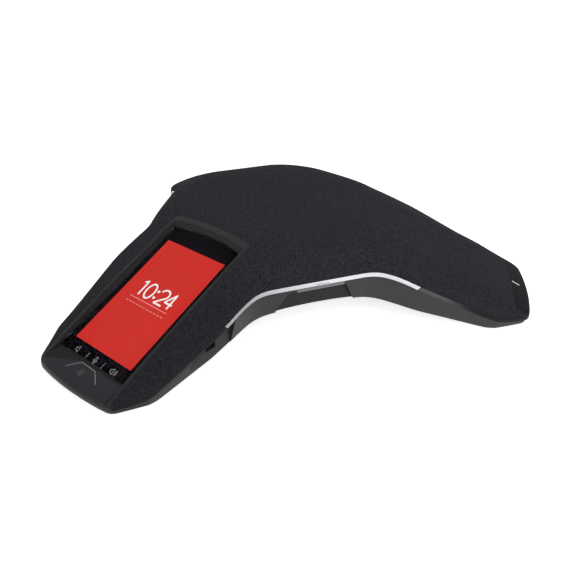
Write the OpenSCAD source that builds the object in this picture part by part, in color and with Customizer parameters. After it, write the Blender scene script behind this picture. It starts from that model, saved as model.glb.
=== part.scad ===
// Three-armed conference phone: a fabric-covered, domed top on an arched base, a touch display on one
// arm, light strips in the three hollow sides and a loudspeaker in the hub. Millimetres, +Z up, standing
// on its feet. The origin is the middle of its footprint, and the display arm points along -Y.

/* [Plan] */
// Hub axis to the middle of an arm's end
arm_reach = 197.3; // [180:0.1:220]
// Hub axis to a hollow side
side_reach = 91; // [86:0.5:96]
// Width of an arm where it leaves the hub
arm_root_w = 116; // [110:0.2:120]
// Width of an arm where its end is chamfered
arm_tip_w = 97; // [90:0.5:102]
// Width of an arm's end face
end_w = 72; // [66:0.5:78]
// Length of the chamfered corner along the arm
chamfer_len = 22.7; // [16:0.1:28]
// How far the end face bows out
end_bow = 3; // [1:0.1:6]
// Corner radius between hub and arm
root_r = 28; // [16:1:36]
// Corner radius at the start of the chamfer
chamfer_r = 14; // [8:1:18]
// Corner radius at the end face
end_r = 10; // [9:0.5:14]

/* [Height] */
// Top of the dome
crown_z = 70; // [68:0.5:76]
// Where the top starts to fall along an arm
crown_flat = 69.5; // [64:0.5:74]
// Height to which an arm's top falls at its end, before the shoulder
tip_z = 12.4; // [11:0.1:14]
// Width of the bend where the top starts to fall
crown_bend = 5; // [3:0.5:10]
// Middle of the edge band at a hollow side
band_z = 44.9; // [42:0.1:47]
// Where the band starts to fall along an arm
band_flat = 94; // [90:0.5:100]
// Length of the level band at an arm's end
band_run = 21; // [18:0.1:26]
// Middle of the band at an arm's end
band_tip_z = 7.2; // [6.2:0.1:9]
// Width of the bend where the band starts to fall
band_bend = 6; // [3:0.5:10]
// Run over which the dome's shoulder rounds off
shoulder_run = 51; // [40:1:56]
// Fullness of the shoulder
shoulder_power = 3.1; // [2.5:0.1:5]
// Height of the edge band
band_h = 3.5; // [2.5:0.1:4.5]
// Depth of the edge band
band_w = 4; // [3:0.1:5]
// Reach of a light strip along an arm
strip_reach = 113.6; // [105:0.1:125]

/* [Base] */
// Underside of the hub above the table
belly_z = 24.7; // [23:0.1:27]
// Where the underside starts to fall along an arm
belly_flat = 65.5; // [62:0.5:72]
// Length of the level underside at an arm's end
foot_run = 34; // [32:0.5:38]
// Thickness of the feet
foot_h = 1.5; // [1:0.1:2.5]
// Length of a foot across the arm
foot_len = 34; // [24:1:44]
// Width of a foot along the arm
foot_w = 11; // [8:0.5:14]
// Arm's end to the middle of a foot
foot_inset = 21.3; // [18:0.1:24]
// Wall of the base
base_wall = 2.2; // [1.8:0.1:2.6]
// Step from the band in to the base's wall
wall_step = 1.5; // [0.8:0.1:2]
// Lean of the base's wall at the hub, from its top to its bottom
wall_lean = 4.7; // [3:0.1:5.5]
// Width of the cable bay in each hollow side, at its top
bay_w = 42; // [40:1:46]
// How much wider the bay gets on each side towards the bottom
bay_flare = 8; // [4:0.5:9]
// Depth of the cable bay behind the outline
bay_d = 9; // [7:0.5:10]
// Top of the cable bay
bay_top = 40; // [39:0.2:41]
// Start of the microphone socket's notch along the display arm
notch_from = 104; // [100:0.5:108]
// End of that notch
notch_to = 140; // [136:0.5:143]
// Depth of that notch behind the outline
notch_d = 8; // [7.5:0.5:9]

/* [Top] */
// Thickness of the acoustic fabric
fabric_t = 0.8; // [0.5:0.1:1.2]
// Wall of the top housing
top_wall = 2.2; // [1.8:0.1:2.6]
// Gap between pieces that are fitted together
fit = 0.1; // [0.05:0.01:0.2]
// Wall of an end cap
cap_wall = 2.4; // [2:0.1:3]
// Width of an end cap
cap_w = 72.4; // [70:0.2:74]
// Length of an end cap along the arm
cap_len = 13.5; // [11:0.5:16]
// Diameter of a grille hole
grille_hole = 4; // [2.4:0.2:5]
// Distance between grille holes
grille_pitch = 10; // [8:0.5:12]
// Radius of the field of grille holes
grille_r = 31; // [24:1:36]

/* [Display] */
// Plan length of the chin, from the glass to the arm's end
chin_run = 18.7; // [16:0.1:22]
// Depth of the glass below the dome's ridge, measured upright
glass_drop = 4.15; // [3.5:0.05:5]
// Picture width
lcd_w = 56.16; // [52:0.02:58]
// Share of the arm's slope that the picture takes
picture_share = 0.6662; // [0.6:0.0001:0.69]
// Width of the glass
lens_w = 66; // [65:0.2:68]
// Glass beyond the picture towards the hub
lens_over = 14.7; // [13:0.1:16]
// Bow of the glass's upper edge
lens_top_bow = 3.5; // [1:0.1:5]
// Glass beyond the picture towards the arm's end
lens_under = 9.2; // [8.5:0.1:10]
// Bow of the glass's lower edge
lens_bow = 1; // [0.5:0.1:1.5]
// Thickness of the glass
lens_t = 1.8; // [1:0.1:2.2]
// Frame of the display module around the picture
lcd_frame = 2.4; // [1.6:0.1:2.6]
// Thickness of the picture panel
panel_t = 1.6; // [1.2:0.1:2]
// Thickness of the backlight
backlight_t = 2.6; // [2:0.1:3]
// Thickness of the steel plate behind it
plate_t = 0.8; // [0.6:0.1:1.2]
// Bezel beside the glass
bezel_side = 3.2; // [3:0.1:4]
// Rim of the bezel beyond the glass towards the hub
bezel_rim = 8; // [7.5:0.5:9]
// Lean of the recess's side walls, in degrees
recess_lean = 22; // [5:1:24]
// Run of the recess's upper wall
recess_run = 6; // [3:0.5:6.5]

/* [Loudspeaker] */
// Outside diameter of the basket
spk_d = 94; // [90:1:97]
// Diameter of the cone with its half surround
cone_d = 70; // [64:1:72]
// Width of the surround's roll
roll_w = 6; // [4.5:0.5:6.5]
// Diameter of the voice coil
coil_d = 26; // [22:1:28]
// Clearance on each side of the voice coil
coil_gap = 0.35; // [0.3:0.05:0.5]
// Wall of the voice coil
coil_t = 0.7; // [0.5:0.1:0.9]
// Travel of the cone each way
cone_travel = 1.5; // [0.5:0.1:1.6]
// Diameter of the magnet
magnet_d = 50; // [44:1:54]
// Thickness of the magnet
magnet_t = 8; // [7:0.5:8.5]
// Thickness of the steel plates
steel_t = 4; // [3:0.2:4.2]
// Thickness of the cone's paper
paper_t = 0.6; // [0.4:0.1:0.8]
// Wall of the speaker chamber
chamber_wall = 1.8; // [1.5:0.1:2.2]

/* [Electronics] */
// Thickness of a circuit board
board_t = 1.6; // [1:0.1:2]
// Radius of the main board
board_r = 62; // [58:1:64]
// Height of the main board's supports
board_lift = 2.2; // [2:0.1:2.6]
// Width, height and depth of the network socket
net_size = [16, 12, 18]; // [10:0.5:22]
// Width, height and depth of the network socket's opening
net_port = [11.8, 8.2, 13]; // [8:0.1:14]
// Width, height and depth of the USB socket
usb_size = [9, 3.4, 7]; // [3:0.1:10]
// Width, height and depth of a microphone socket
mic_size = [11, 9, 12]; // [8:0.5:14]
// Width, height and depth of a microphone socket's opening
mic_port = [7.8, 6.4, 9]; // [5:0.1:10]

/* [Hidden] */
$fn = 48;

// Directions of the arms: the display arm, the right arm and the left arm
arm_angles = [-90, 30, 150];
// Directions of the hollow sides: right, back and left
side_angles = [for (a = arm_angles) a + 60];
arc_steps = 3;
longest_step = 28;
eps = 0.01;

function softplus(x, s) = x > 30 * s ? x : s * ln(1 + exp(x / s));
function unit(v) = v / norm(v);
function turned(p, a) = [p.x * cos(a) - p.y * sin(a), p.x * sin(a) + p.y * cos(a)];
function wrapped(a) = a - 360 * round(a / 360);
function at(list, i) = list[(i + len(list)) % len(list)];

// Plan outline, anticlockwise, from the corners of one arm as [along, across, radius]
root_t = arm_root_w / 2;
root_u = (side_reach - root_t * sin(60)) / cos(60);
end_u = arm_reach - end_bow;
taper_r = 60;
half_arm = [
    [root_u, root_t, root_r],
    [strip_reach, root_t, taper_r],
    [end_u - chamfer_len, arm_tip_w / 2, chamfer_r],
    [end_u, end_w / 2, end_r]
];
arm_corners = concat(
    [for (c = half_arm) [c.x, -c.y, c.z]],
    [for (f = [-0.5, 0, 0.5]) [end_u + end_bow * (1 - f * f), f * end_w / 2, 0]],
    [for (i = [len(half_arm) - 1 : -1 : 0]) half_arm[i]]
);
corners = [for (a = arm_angles) for (c = arm_corners) concat(turned(c, a), [c.z])];

function flat(c) = [c.x, c.y];
function fillet(a, p, b, r, n) =
    let (
        da = unit(a - p),
        db = unit(b - p),
        half = acos(da * db) / 2,
        centre = p + unit(da + db) * r / sin(half),
        s = p + da * r / tan(half) - centre,
        e = p + db * r / tan(half) - centre,
        from = atan2(s.y, s.x),
        turn = wrapped(atan2(e.y, e.x) - from)
    )
    [for (k = [0 : n]) centre + r * [cos(from + turn * k / n), sin(from + turn * k / n)]];
function rounded(a, c, b) =
    c.z == 0 ? [flat(c)] : fillet(flat(a), flat(c), flat(b), c.z, c.z == taper_r ? 2 : arc_steps);
function divided(p, q) =
    let (n = ceil(norm(q - p) / longest_step))
    [for (j = [0 : n - 1]) p + (q - p) * j / n];

corner_points = [
    for (i = [0 : len(corners) - 1]) each rounded(at(corners, i - 1), corners[i], at(corners, i + 1))
];
outline = [for (i = [0 : len(corner_points) - 1]) each divided(corner_points[i], at(corner_points, i + 1))];
ring_n = len(outline);
tangents = [
    for (i = [0 : ring_n - 1]) unit(
        unit(at(outline, i + 1) - outline[i]) + unit(outline[i] - at(outline, i - 1))
    )
];
normals = [for (t = tangents) [t.y, -t.x]];

// The footprint's middle lies on the display arm's axis, off the hub
outline_y = [for (p = outline) p.y];
hub_y = -(max(outline_y) + min(outline_y)) / 2;

// Heights: the band round the edge, the ridge of the dome and the arched underside. Their falls, for each
// mm outwards, follow from the arm's length.
arm_fall = (crown_z - tip_z) / (arm_reach - crown_flat);
band_fall = (band_z - band_tip_z) / (arm_reach - band_run - band_flat);
belly_fall = (belly_z - foot_h) / (arm_reach - foot_run - belly_flat);
foot_reach = arm_reach - foot_inset;
tip_bend = 3;
belly_bend = 8;
hub_blend = 13.6;
function along_arms(p) = [for (a = arm_angles) p.x * cos(a) + p.y * sin(a)];
function arm_u(p) = max(along_arms(p));
function soft_u(p) = hub_blend * ln([for (u = along_arms(p)) exp(u / hub_blend)] * [1, 1, 1]);
function band_mid(u) =
    band_tip_z + softplus(band_z - band_fall * softplus(u - band_flat, band_bend) - band_tip_z, tip_bend);
function ridge(u) = crown_z - arm_fall * softplus(u - crown_flat, crown_bend);
function belly(u) = max(foot_h, belly_z - belly_fall * softplus(u - belly_flat, belly_bend));
function shoulder(d) =
    let (q = min(1, max(0, d) / shoulder_run))
    pow(1 - pow(1 - q, shoulder_power), 1 / shoulder_power);
band_at = [for (p = outline) band_mid(arm_u(p))];

// Distance from the hub to the edge's tangent, smoothed along the edge so that the shoulder changes slowly
support_blend = 14;
reaches = [for (i = [0 : ring_n - 1]) outline[i] * normals[i]];
lengths = [for (i = [0 : ring_n - 1]) norm(at(outline, i + 1) - at(outline, i - 1))];
function nearness(p, q) = exp(-pow(norm(p - q) / support_blend, 2) / 2);
support = [
    for (p = outline)
        let (weights = [for (j = [0 : ring_n - 1]) lengths[j] * nearness(p, outline[j])])
        weights * reaches / (weights * [for (w = weights) 1])
];

// A point of the dome, e inside its skin, on the way from the hub at step 0 to the edge at step 1. The ring
// at the step crown_step lies where the arms start to fall.
crown_step = 0.3;
widest_crown = 0.52;
function inset(i, e) = outline[i] - e * normals[i];
function share(i, step) =
    let (crown = min(widest_crown, crown_flat / arm_u(outline[i])))
    step < crown_step
        ? crown * step / crown_step
        : crown + (1 - crown) * (step - crown_step) / (1 - crown_step);
function dome_point(i, e, step) =
    let (
        v = share(i, step),
        edge = inset(i, e),
        p = edge * v,
        low = band_at[i] + band_h / 2,
        high = ridge(soft_u(p)) - e
    )
    [p.x, p.y, low + max(high - low, 1) * shoulder((1 - v) * (support[i] - e))];
function dome_ring(e, step) = [for (i = [0 : ring_n - 1]) dome_point(i, e, step)];
function dome_top(e) = [0, 0, ridge(soft_u([0, 0])) - e];
dome_steps = [0.2, 0.27, 0.34, 0.5, 0.66, 0.79, 0.88, 0.945, 0.98, 1];
inner_steps = [0.2, 0.34, 0.65, 0.84, 0.945, 1];
function dome_rings(e, steps = dome_steps) = [for (step = steps) dome_ring(e, step)];
function band_ring(e, up) = [for (i = [0 : ring_n - 1]) concat(inset(i, e), [band_at[i] + up * band_h / 2])];
// Foot of the base's wall: it leans in by wall_lean at the hub, and less where the wall is lower
lean_h = band_z - band_h / 2 - belly_z;
foot_e = [
    for (i = [0 : ring_n - 1])
        wall_step + wall_lean * (band_at[i] - band_h / 2 - belly(arm_u(outline[i]))) / lean_h
];
function belly_ring(e, v, lift) =
    [for (i = [0 : ring_n - 1]) let (p = inset(i, foot_e[i] + e) * v) [p.x, p.y, belly(arm_u(p)) + lift]];
belly_steps = [0.33, 0.6, 0.85, 1];
function reversed(list) = [for (i = [len(list) - 1 : -1 : 0]) list[i]];

// Height of the dome over an arm's middle line, e inside its skin
function roof_z(u, e) =
    let (low = band_mid(arm_reach) + band_h / 2)
    low + (ridge(u) - e - low) * shoulder((1 - u / (arm_reach - e)) * (max(support) - e));

// Closed surface through rings of points, from one pole to the other. From the ring turn on, the rings run
// back in, and their facets are split the other way, so that two skins one inside the other stay parallel.
module skin(first, rings, last, turn) {
    m = len(rings[0]);
    top = len(rings) - 1;
    points = concat([first], [for (r = rings) each r], [last]);
    function id(k, i) = 1 + k * m + i % m;
    function split(a, b, c, d, back) = back ? [[a, b, d], [b, c, d]] : [[a, b, c], [a, c, d]];
    polyhedron(points, concat(
        [for (i = [0 : m - 1]) [0, id(0, i + 1), id(0, i)]],
        [for (k = [0 : top - 1], i = [0 : m - 1])
            each split(id(k, i), id(k, i + 1), id(k + 1, i + 1), id(k + 1, i), k >= turn)],
        [for (i = [0 : m - 1]) [id(top, i), id(top, i + 1), len(points) - 1]]
    ));
}

// Bar through four-cornered sections, closed at both ends
module bar(sections) {
    last = 4 * (len(sections) - 1);
    sides = [0, 1, 2, 3];
    polyhedron([for (s = sections) each s], concat(
        [[2, 1, 0], [3, 2, 0]],
        [for (k = [0 : 4 : last - 4]) for (j = sides) [k + j, k + (j + 1) % 4, k + 4 + (j + 1) % 4]],
        [for (k = [0 : 4 : last - 4]) for (j = sides) [k + j, k + 4 + (j + 1) % 4, k + 4 + j]],
        [[last, last + 1, last + 2], [last, last + 2, last + 3]]
    ));
}

// One smooth moulding out of several forms
module moulded() {
    resize([0, 0, 0]) children();
}
// Shell of the dome between two depths under its skin
module dome_shell(outer, inner, steps = dome_steps) {
    rings = concat(dome_rings(outer), reversed(dome_rings(inner, steps)));
    skin(dome_top(outer), rings, dome_top(inner), len(dome_steps));
}
// Everything under the dome, e inside its skin, down to the top of the band
module dome_solid(e) {
    skin(dome_top(e), concat(dome_rings(e), [band_ring(band_w + e, 1)]), [0, 0, 0], len(dome_steps));
}
module base_shell() {
    skin(
        [0, 0, belly_z + base_wall],
        concat(
            [for (v = belly_steps) belly_ring(base_wall, v, base_wall)],
            [band_ring(wall_step + base_wall, -1), band_ring(wall_step, -1)],
            [for (v = reversed(belly_steps)) belly_ring(0, v, 0)]
        ),
        [0, 0, belly_z],
        len(belly_steps) + 1
    );
}
module base_solid() {
    skin(
        [0, 0, band_z - band_h / 2],
        concat(
            [band_ring(wall_step, -1)],
            [for (v = reversed(belly_steps)) belly_ring(0, v, 0)]
        ),
        [0, 0, belly_z],
        0
    );
}

// Frames: the hub, an arm (X along it), a hollow side (X out of it) and the tilted glass (X down the slope)
module at_hub() {
    translate([0, hub_y, 0]) children();
}
module on_arm(k) {
    rotate([0, 0, arm_angles[k]]) children();
}
module on_side(k) {
    rotate([0, 0, side_angles[k]]) children();
}
tilt = atan(arm_fall);
lcd_l = picture_share * (arm_reach - crown_flat) / cos(tilt);
lens_up = lcd_l / 2 + lens_over;
lens_down = lcd_l / 2 + lens_under;
bezel_w = lens_w + 2 * bezel_side;
lcd_reach = arm_reach - chin_run - lens_down * cos(tilt);
glass_z = ridge(lcd_reach) - glass_drop;
module on_glass() {
    on_arm(0) translate([lcd_reach, 0, glass_z]) rotate([0, tilt, 0]) children();
}
module box(low, high) {
    translate(low) cube(high - low);
}

// Screws: [along the arm, across it, height where the two housings meet on the boss]
screw_r = 1.5;
screw_gap = 0.15;
screw_head_r = 3;
screw_head_h = 2;
screw_sink = 1.4;
boss_r = 3.6;
boss_grip = 8;
screw_places = [
    [root_u - 12, bezel_w / 2 + boss_r + 4, 13],
    [notch_to + base_wall + boss_r + 4, bezel_w / 2 + boss_r + 0.8, 9]
];
function screw_low(s) = belly(s.x) + screw_sink;
function screw_split(s) = belly(s.x) + s.z;
module each_screw() {
    for (k = [0 : 2], s = screw_places, side = [-1, 1])
        on_arm(k) translate([s.x, side * s.y, 0]) {
            $screw = s;
            children();
        }
}

// Cable bays in the hollow sides, and the notches of the microphone sockets on the display arm
bay_face = side_reach - bay_d;
bay_roof = 1.2;
module bay_form(grow, face) {
    half = bay_w / 2 + grow;
    low = belly_z - 4;
    rise = bay_top - belly_z;
    flare = bay_flare * (bay_top - low) / rise;
    top = bay_top + min(grow, bay_roof);
    translate([face, 0, 0]) rotate([90, 0, 90]) linear_extrude(bay_d + 10) polygon([
        [-half - flare, low], [half + flare, low], [half, top], [-half, top]
    ]);
}
notch_face = root_t - notch_d;
module notch_form(grow, lift) {
    ends = [notch_from - grow, notch_to + grow];
    for (side = [-1, 1])
        on_arm(0) mirror([0, side < 0 ? 1 : 0, 0]) translate([0, root_t + 10, 0]) rotate([90, 0, 0])
            linear_extrude(root_t + 10 - notch_face + grow) polygon(concat(
                [for (u = ends) [u, 0]],
                [for (u = reversed(ends)) [u, band_mid(u) - band_h / 2 + lift]]
            ));
}

// Loudspeaker stack, measured down from the roof
roof_e = fabric_t + fit;
roof_in = roof_e + top_wall;
rib_h = 3.6;
gasket_t = 1.2;
flange_t = 2;
basket_h = 6.6;
flange_z = crown_z - roof_in - rib_h - gasket_t - flange_t;
flange_top = flange_z + flange_t;
plate_top = flange_z - basket_h;
magnet_top = plate_top - steel_t;
yoke_top = magnet_top - magnet_t;
yoke_low = yoke_top - steel_t;
chamber_low = yoke_low - 0.2 - chamber_wall;
spk_r = spk_d / 2;
cone_r = cone_d / 2;
roll_r = cone_r + roll_w;
lip_r = roll_r + 2;
coil_in = coil_d / 2 - coil_t / 2;
coil_out = coil_d / 2 + coil_t / 2;
neck_r = coil_out + fit / 2;
neck_z = plate_top + 4.6;
spider_r = magnet_d / 2 + 3;
basket_floor_t = 1;
basket_ledge = 1.6;
basket_foot_r = spider_r + 1.5;
lead_r = 36;
lead_wire_r = 0.6;
lead_angle = -60;

// Boards in the base
floor_z = belly_z + base_wall;
board_low = floor_z + board_lift;
board_top = board_low + board_t;
can_size = [30, 24, 3];
post_r = 3.5;
post_reach = spk_r - 3;
stud_reach = board_r - 5;
stud_angles = [53, 173, 293];
net_y = -9;
usb_y = 11;
port_gap = 0.3;
mic_socket_u = (notch_from + notch_to) / 2;
mic_socket_z = band_mid(mic_socket_u) - band_h / 2 - mic_size.y - 3;
mic_face = notch_face - base_wall;
mic_board_low = mic_socket_z - board_t;
mic_stem_r = 4;
mic_reach = arm_reach - 9.5;
mic_stem_top = band_mid(arm_reach) - 0.6;
mic_disc_t = 1;
mic_disc_r = 5;

// Openings of the dome for the display and the end caps
bezel_u = lcd_reach - (lens_up + bezel_rim) * cos(tilt);
module bowed_plan(x0, x1, half, bow0, bow1) {
    marks = [for (f = [-1 : 0.25 : 1]) f];
    polygon(concat(
        [for (f = marks) [x0 + bow0 * f * f, f * half]],
        [for (f = reversed(marks)) [x1 + bow1 * f * f, f * half]]
    ));
}
module bezel_plan(grow) {
    bowed_plan(bezel_u - grow, arm_reach + 5, bezel_w / 2 + grow, lens_top_bow * cos(tilt), 0);
}
module display_opening(grow) {
    on_arm(0) linear_extrude(crown_z + 10) bezel_plan(grow);
}
module cap_opening(k, grow) {
    half = cap_w / 2 + grow;
    on_arm(k) box([arm_reach - cap_len - grow, -half, 0], [arm_reach + 5, half, crown_z]);
}
module dome_openings() {
    display_opening(fit);
    cap_opening(1, fit);
    cap_opening(2, fit);
}

// Post on the floor of the base, up to the height high, turned so that no corner lies on an arm's axis
boss_sides = 8;
module post(u, r, high) {
    low = belly(u) + base_wall / 2;
    translate([u, 0, low]) rotate([0, 0, 90 / boss_sides])
        cylinder(r = r, h = high - low, $fn = boss_sides);
}
module base_housing() {
    color([0.26, 0.25, 0.24]) at_hub() moulded() difference() {
        union() {
            base_shell();
            intersection() {
                base_solid();
                union() {
                    for (k = [0 : 2]) on_side(k) bay_form(base_wall, bay_face - base_wall);
                    notch_form(base_wall, -0.8);
                }
            }
            each_screw() translate([-$screw.x, 0, 0]) post($screw.x, boss_r, screw_split($screw));
            for (a = arm_angles) rotate([0, 0, a]) post(post_reach, post_r, chamber_low);
            for (a = stud_angles) rotate([0, 0, a]) post(stud_reach, post_r, board_low);
            for (k = [0 : 2]) on_arm(k) post(mic_reach, mic_stem_r, mic_stem_top);
            mic_socket_posts();
        }
        for (k = [0 : 2]) on_side(k) bay_form(0, bay_face);
        notch_form(0, band_h / 2);
        on_side(1) {
            port_window(net_y, net_port, board_top + 1);
            port_window(usb_y, usb_size, board_top);
        }
        mic_half = mic_port.x / 2 + port_gap;
        mic_low = mic_socket_z + 1;
        for (side = [-1, 1])
            on_arm(0) mirror([0, side < 0 ? 1 : 0, 0])
                box(
                    [mic_socket_u - mic_half, mic_face - 1, mic_low - port_gap],
                    [mic_socket_u + mic_half, notch_face + 1, mic_low + mic_port.y + port_gap]
                );
        each_screw() {
            cylinder(r = screw_r + screw_gap, h = crown_z, $fn = boss_sides);
            cylinder(
                r = screw_head_r + 2 * screw_gap, h = screw_low($screw) + screw_head_h, $fn = boss_sides
            );
        }
    }
}
module port_window(y, size, z) {
    box(
        [bay_face - base_wall - 1, y - size.x / 2 - port_gap, z - port_gap],
        [bay_face + 1, y + size.x / 2 + port_gap, z + size.y + port_gap]
    );
}
module mic_socket_posts() {
    for (side = [-1, 1], du = [-4, 4])
        on_arm(0) translate([0, side * (mic_face - mic_size.z / 2), 0])
            post(mic_socket_u + du, 2, mic_board_low);
}

// Flat grille over the loudspeaker, just below the roof's skin, with the rib that clamps the gasket
grille_sink = 0.2;
grille_edge = 1;
module top_housing() {
    color([0.16, 0.16, 0.17]) at_hub() moulded() {
        difference() {
            dome_shell(roof_e, roof_in, inner_steps);
            dome_openings();
            cylinder(r = spk_r - grille_edge, h = crown_z);
        }
        difference() {
            intersection() {
                dome_solid(roof_e + top_wall / 2);
                each_screw() translate([0, 0, screw_split($screw) + fit])
                    cylinder(r = boss_r, h = crown_z, $fn = boss_sides);
            }
            each_screw() translate([0, 0, screw_split($screw) - 1])
                cylinder(r = screw_r + screw_gap, h = boss_grip + 1, $fn = boss_sides);
        }
        grille_plate();
    }
}
module grille_plate() {
    top = crown_z - roof_e - grille_sink;
    low = crown_z - roof_in - grille_sink;
    rib_low = flange_top + gasket_t;
    difference() {
        rotate_extrude() polygon([
            [0, low], [lip_r + 0.3, low], [lip_r + 0.3, rib_low], [spk_r, rib_low],
            [spk_r, low], [spk_r + grille_edge, low], [spk_r + grille_edge, top], [0, top]
        ]);
        grille_holes();
    }
}
module grille_holes() {
    row = grille_pitch * sin(60);
    rows = floor(grille_r / row);
    across = floor(grille_r / grille_pitch) + 1;
    for (j = [-rows : rows], i = [-across : across]) {
        p = [i * grille_pitch + (j % 2 == 0 ? 0 : grille_pitch / 2), j * row];
        if (norm(p) <= grille_r)
            translate([p.x, p.y, crown_z - roof_in - 2])
                cylinder(d = grille_hole, h = roof_in + 4, $fn = 6);
    }
}

module fabric_cover() {
    color([0.15, 0.15, 0.17]) at_hub() moulded() difference() {
        dome_shell(0, fabric_t);
        dome_openings();
    }
}

// Edge band: light strips in the hollow sides, and dark trim round the arms between them
function nearest(p) =
    let (d = [for (q = outline) norm(q - p)])
    search(min(d), d)[0];
function strip_end(k, side) = nearest(turned([strip_reach, side * root_t], arm_angles[k]));
function run(from, to) = [for (j = [0 : (to - from + ring_n) % ring_n]) (from + j) % ring_n];
module band(indices) {
    up = [0, 0, band_h / 2];
    bar([for (i = indices) let (
        out = concat(inset(i, 0), [band_at[i]]),
        back = concat(inset(i, band_w), [band_at[i]])
    ) [out + up, back + up, back - up, out - up]]);
}
module light_guide(k) {
    color([0.86, 0.87, 0.9]) at_hub() band(run(strip_end(k, 1), strip_end((k + 1) % 3, -1)));
}
module edge_trim(k) {
    color([0.09, 0.09, 0.1]) at_hub() band(run(strip_end(k, -1), strip_end(k, 1)));
}
led_board_t = 1.2;
led_board_len = 50;
module led_boards() {
    color([0.1, 0.3, 0.16]) at_hub() for (k = [0 : 2]) on_side(k) {
        back = side_reach - band_w - fit;
        box(
            [back - led_board_t, -led_board_len / 2, band_z - band_h / 2 + 0.3],
            [back, led_board_len / 2, band_z + band_h / 2 - 0.3]
        );
    }
}

// Display: bezel, glass, chin, picture panel, backlight, plate, key board and ribbon
module_x = lcd_l / 2 + lcd_frame;
module_y = lcd_w / 2 + lcd_frame;
module_z = lens_t + panel_t + backlight_t;
far = 120;
chin_from = lens_down - lens_bow - 1.6;
module lens_plan(grow) {
    bowed_plan(-lens_up - grow, lens_down + grow, lens_w / 2 + grow, lens_top_bow, lens_bow);
}
recess_h = 14;
module recess_form() {
    wide = recess_h * tan(recess_lean);
    rise = recess_h * recess_run / glass_drop;
    hull() {
        linear_extrude(eps) bowed_plan(-lens_up - fit, far, lens_w / 2 + fit, lens_top_bow, 0);
        translate([0, 0, recess_h]) linear_extrude(eps)
            bowed_plan(-lens_up - fit - rise, far, lens_w / 2 + fit + wide, lens_top_bow, 0);
    }
}
module display_bezel() {
    color([0.18, 0.18, 0.19]) at_hub() moulded() difference() {
        intersection() {
            dome_solid(0);
            display_opening(0);
            on_glass() box([-far, -far / 2, -module_z], [far, far / 2, far]);
        }
        on_glass() {
            recess_form();
            translate([0, 0, -lens_t - fit / 2]) linear_extrude(lens_t + fit)
                bowed_plan(-lens_up - fit, far, lens_w / 2 + fit, lens_top_bow, 0);
            box([-module_x - fit, -module_y - fit, -far], [far, module_y + fit, 0]);
            box([chin_from - fit, -lens_w / 2 - 2 * fit, -far], [far, lens_w / 2 + 2 * fit, far]);
        }
    }
}
module display_lens() {
    color([0.03, 0.035, 0.04]) at_hub() on_glass() translate([0, 0, -lens_t])
        linear_extrude(lens_t) lens_plan(0);
}
chin_wall = 2.2;
chin_lip = 0.8;
function bezier(a, b, c, t) = (1 - t) * (1 - t) * a + 2 * t * (1 - t) * b + t * t * c;
function glass_at(x) = [lcd_reach + x * cos(tilt), glass_z - x * sin(tilt)];
module display_chin() {
    end = [arm_reach + 1, band_mid(arm_reach) + band_h / 2 + chin_lip];
    start = glass_at(lens_down + 2);
    bend = start + (end - start) * 0.5 + [0.7, 0.7];
    color([0.19, 0.19, 0.2]) at_hub() moulded() difference() {
        intersection() {
            dome_solid(0);
            on_arm(0) rotate([90, 0, 0]) linear_extrude(lens_w, center = true) polygon(concat(
                [[glass_at(chin_from).x, 0], glass_at(chin_from)],
                [for (t = [0 : 0.125 : 1]) bezier(start, bend, end, t)],
                [[end.x, 0]]
            ));
        }
        on_glass() {
            translate([0, 0, -lens_t - fit / 2]) linear_extrude(lens_t + 4) lens_plan(fit);
            box(
                [lens_down + 1, -lens_w / 2 + chin_wall, -far],
                [(arm_reach - lcd_reach) / cos(tilt) - 2 * chin_wall, lens_w / 2 - chin_wall, -chin_wall]
            );
            box([-far, -lens_w, -far], [lens_down + 1, lens_w, -module_z]);
        }
        on_arm(0) translate([mic_reach, 0, 0]) cylinder(d = 1.6, h = crown_z, $fn = 12);
    }
}
module module_slab(top, thick) {
    on_glass() box([-module_x, -module_y, top - thick], [module_x, module_y, top]);
}
module lcd_panel() {
    color([0.75, 0.18, 0.16]) at_hub() module_slab(-lens_t, panel_t);
}
module lcd_backlight() {
    color([0.85, 0.85, 0.83]) at_hub() module_slab(-lens_t - panel_t, backlight_t);
}
plate_margin = 3;
module lcd_backplate() {
    color([0.7, 0.71, 0.72]) at_hub() on_glass() difference() {
        box(
            [-module_x - 2 * plate_margin, -module_y - plate_margin, -module_z - plate_t],
            [module_x, module_y + plate_margin, -module_z]
        );
        for (x = [-module_x / 2, module_x / 2])
            translate([x, 0, -module_z - plate_t - 1]) cylinder(r = 9, h = plate_t + 2);
    }
}
key_board_w = 3.6;
key_board_t = 1.2;
module touch_key_board() {
    color([0.1, 0.3, 0.16]) at_hub() on_glass()
        box([module_x + fit, -24, -lens_t - key_board_t], [module_x + fit + key_board_w, 24, -lens_t]);
}
ribbon_w = 14;
ribbon_t = 0.3;
module display_ribbon() {
    join = glass_at(-module_x + 6) - (module_z + plate_t + ribbon_t / 2 + fit / 2) * [sin(tilt), cos(tilt)];
    land = [board_r - 5, board_top + ribbon_t / 2 + fit / 2];
    path = [join, [board_r + 6, join.y - 8], land + [1, 4], land];
    color([0.75, 0.5, 0.15]) at_hub() on_arm(0) rotate([90, 0, 0]) linear_extrude(ribbon_w, center = true)
        ribbon_path(path);
}
module ribbon_path(path) {
    for (i = [0 : len(path) - 2]) hull() {
        translate(path[i]) circle(d = ribbon_t, $fn = 8);
        translate(path[i + 1]) circle(d = ribbon_t, $fn = 8);
    }
}

module end_cap(k) {
    color([0.13, 0.13, 0.14]) at_hub() moulded() difference() {
        intersection() {
            dome_shell(0, cap_wall);
            cap_opening(k, 0);
        }
        on_arm(k) box([mic_reach - 3, -0.6, 0], [mic_reach + 3, 0.6, crown_z]);
    }
}

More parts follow.
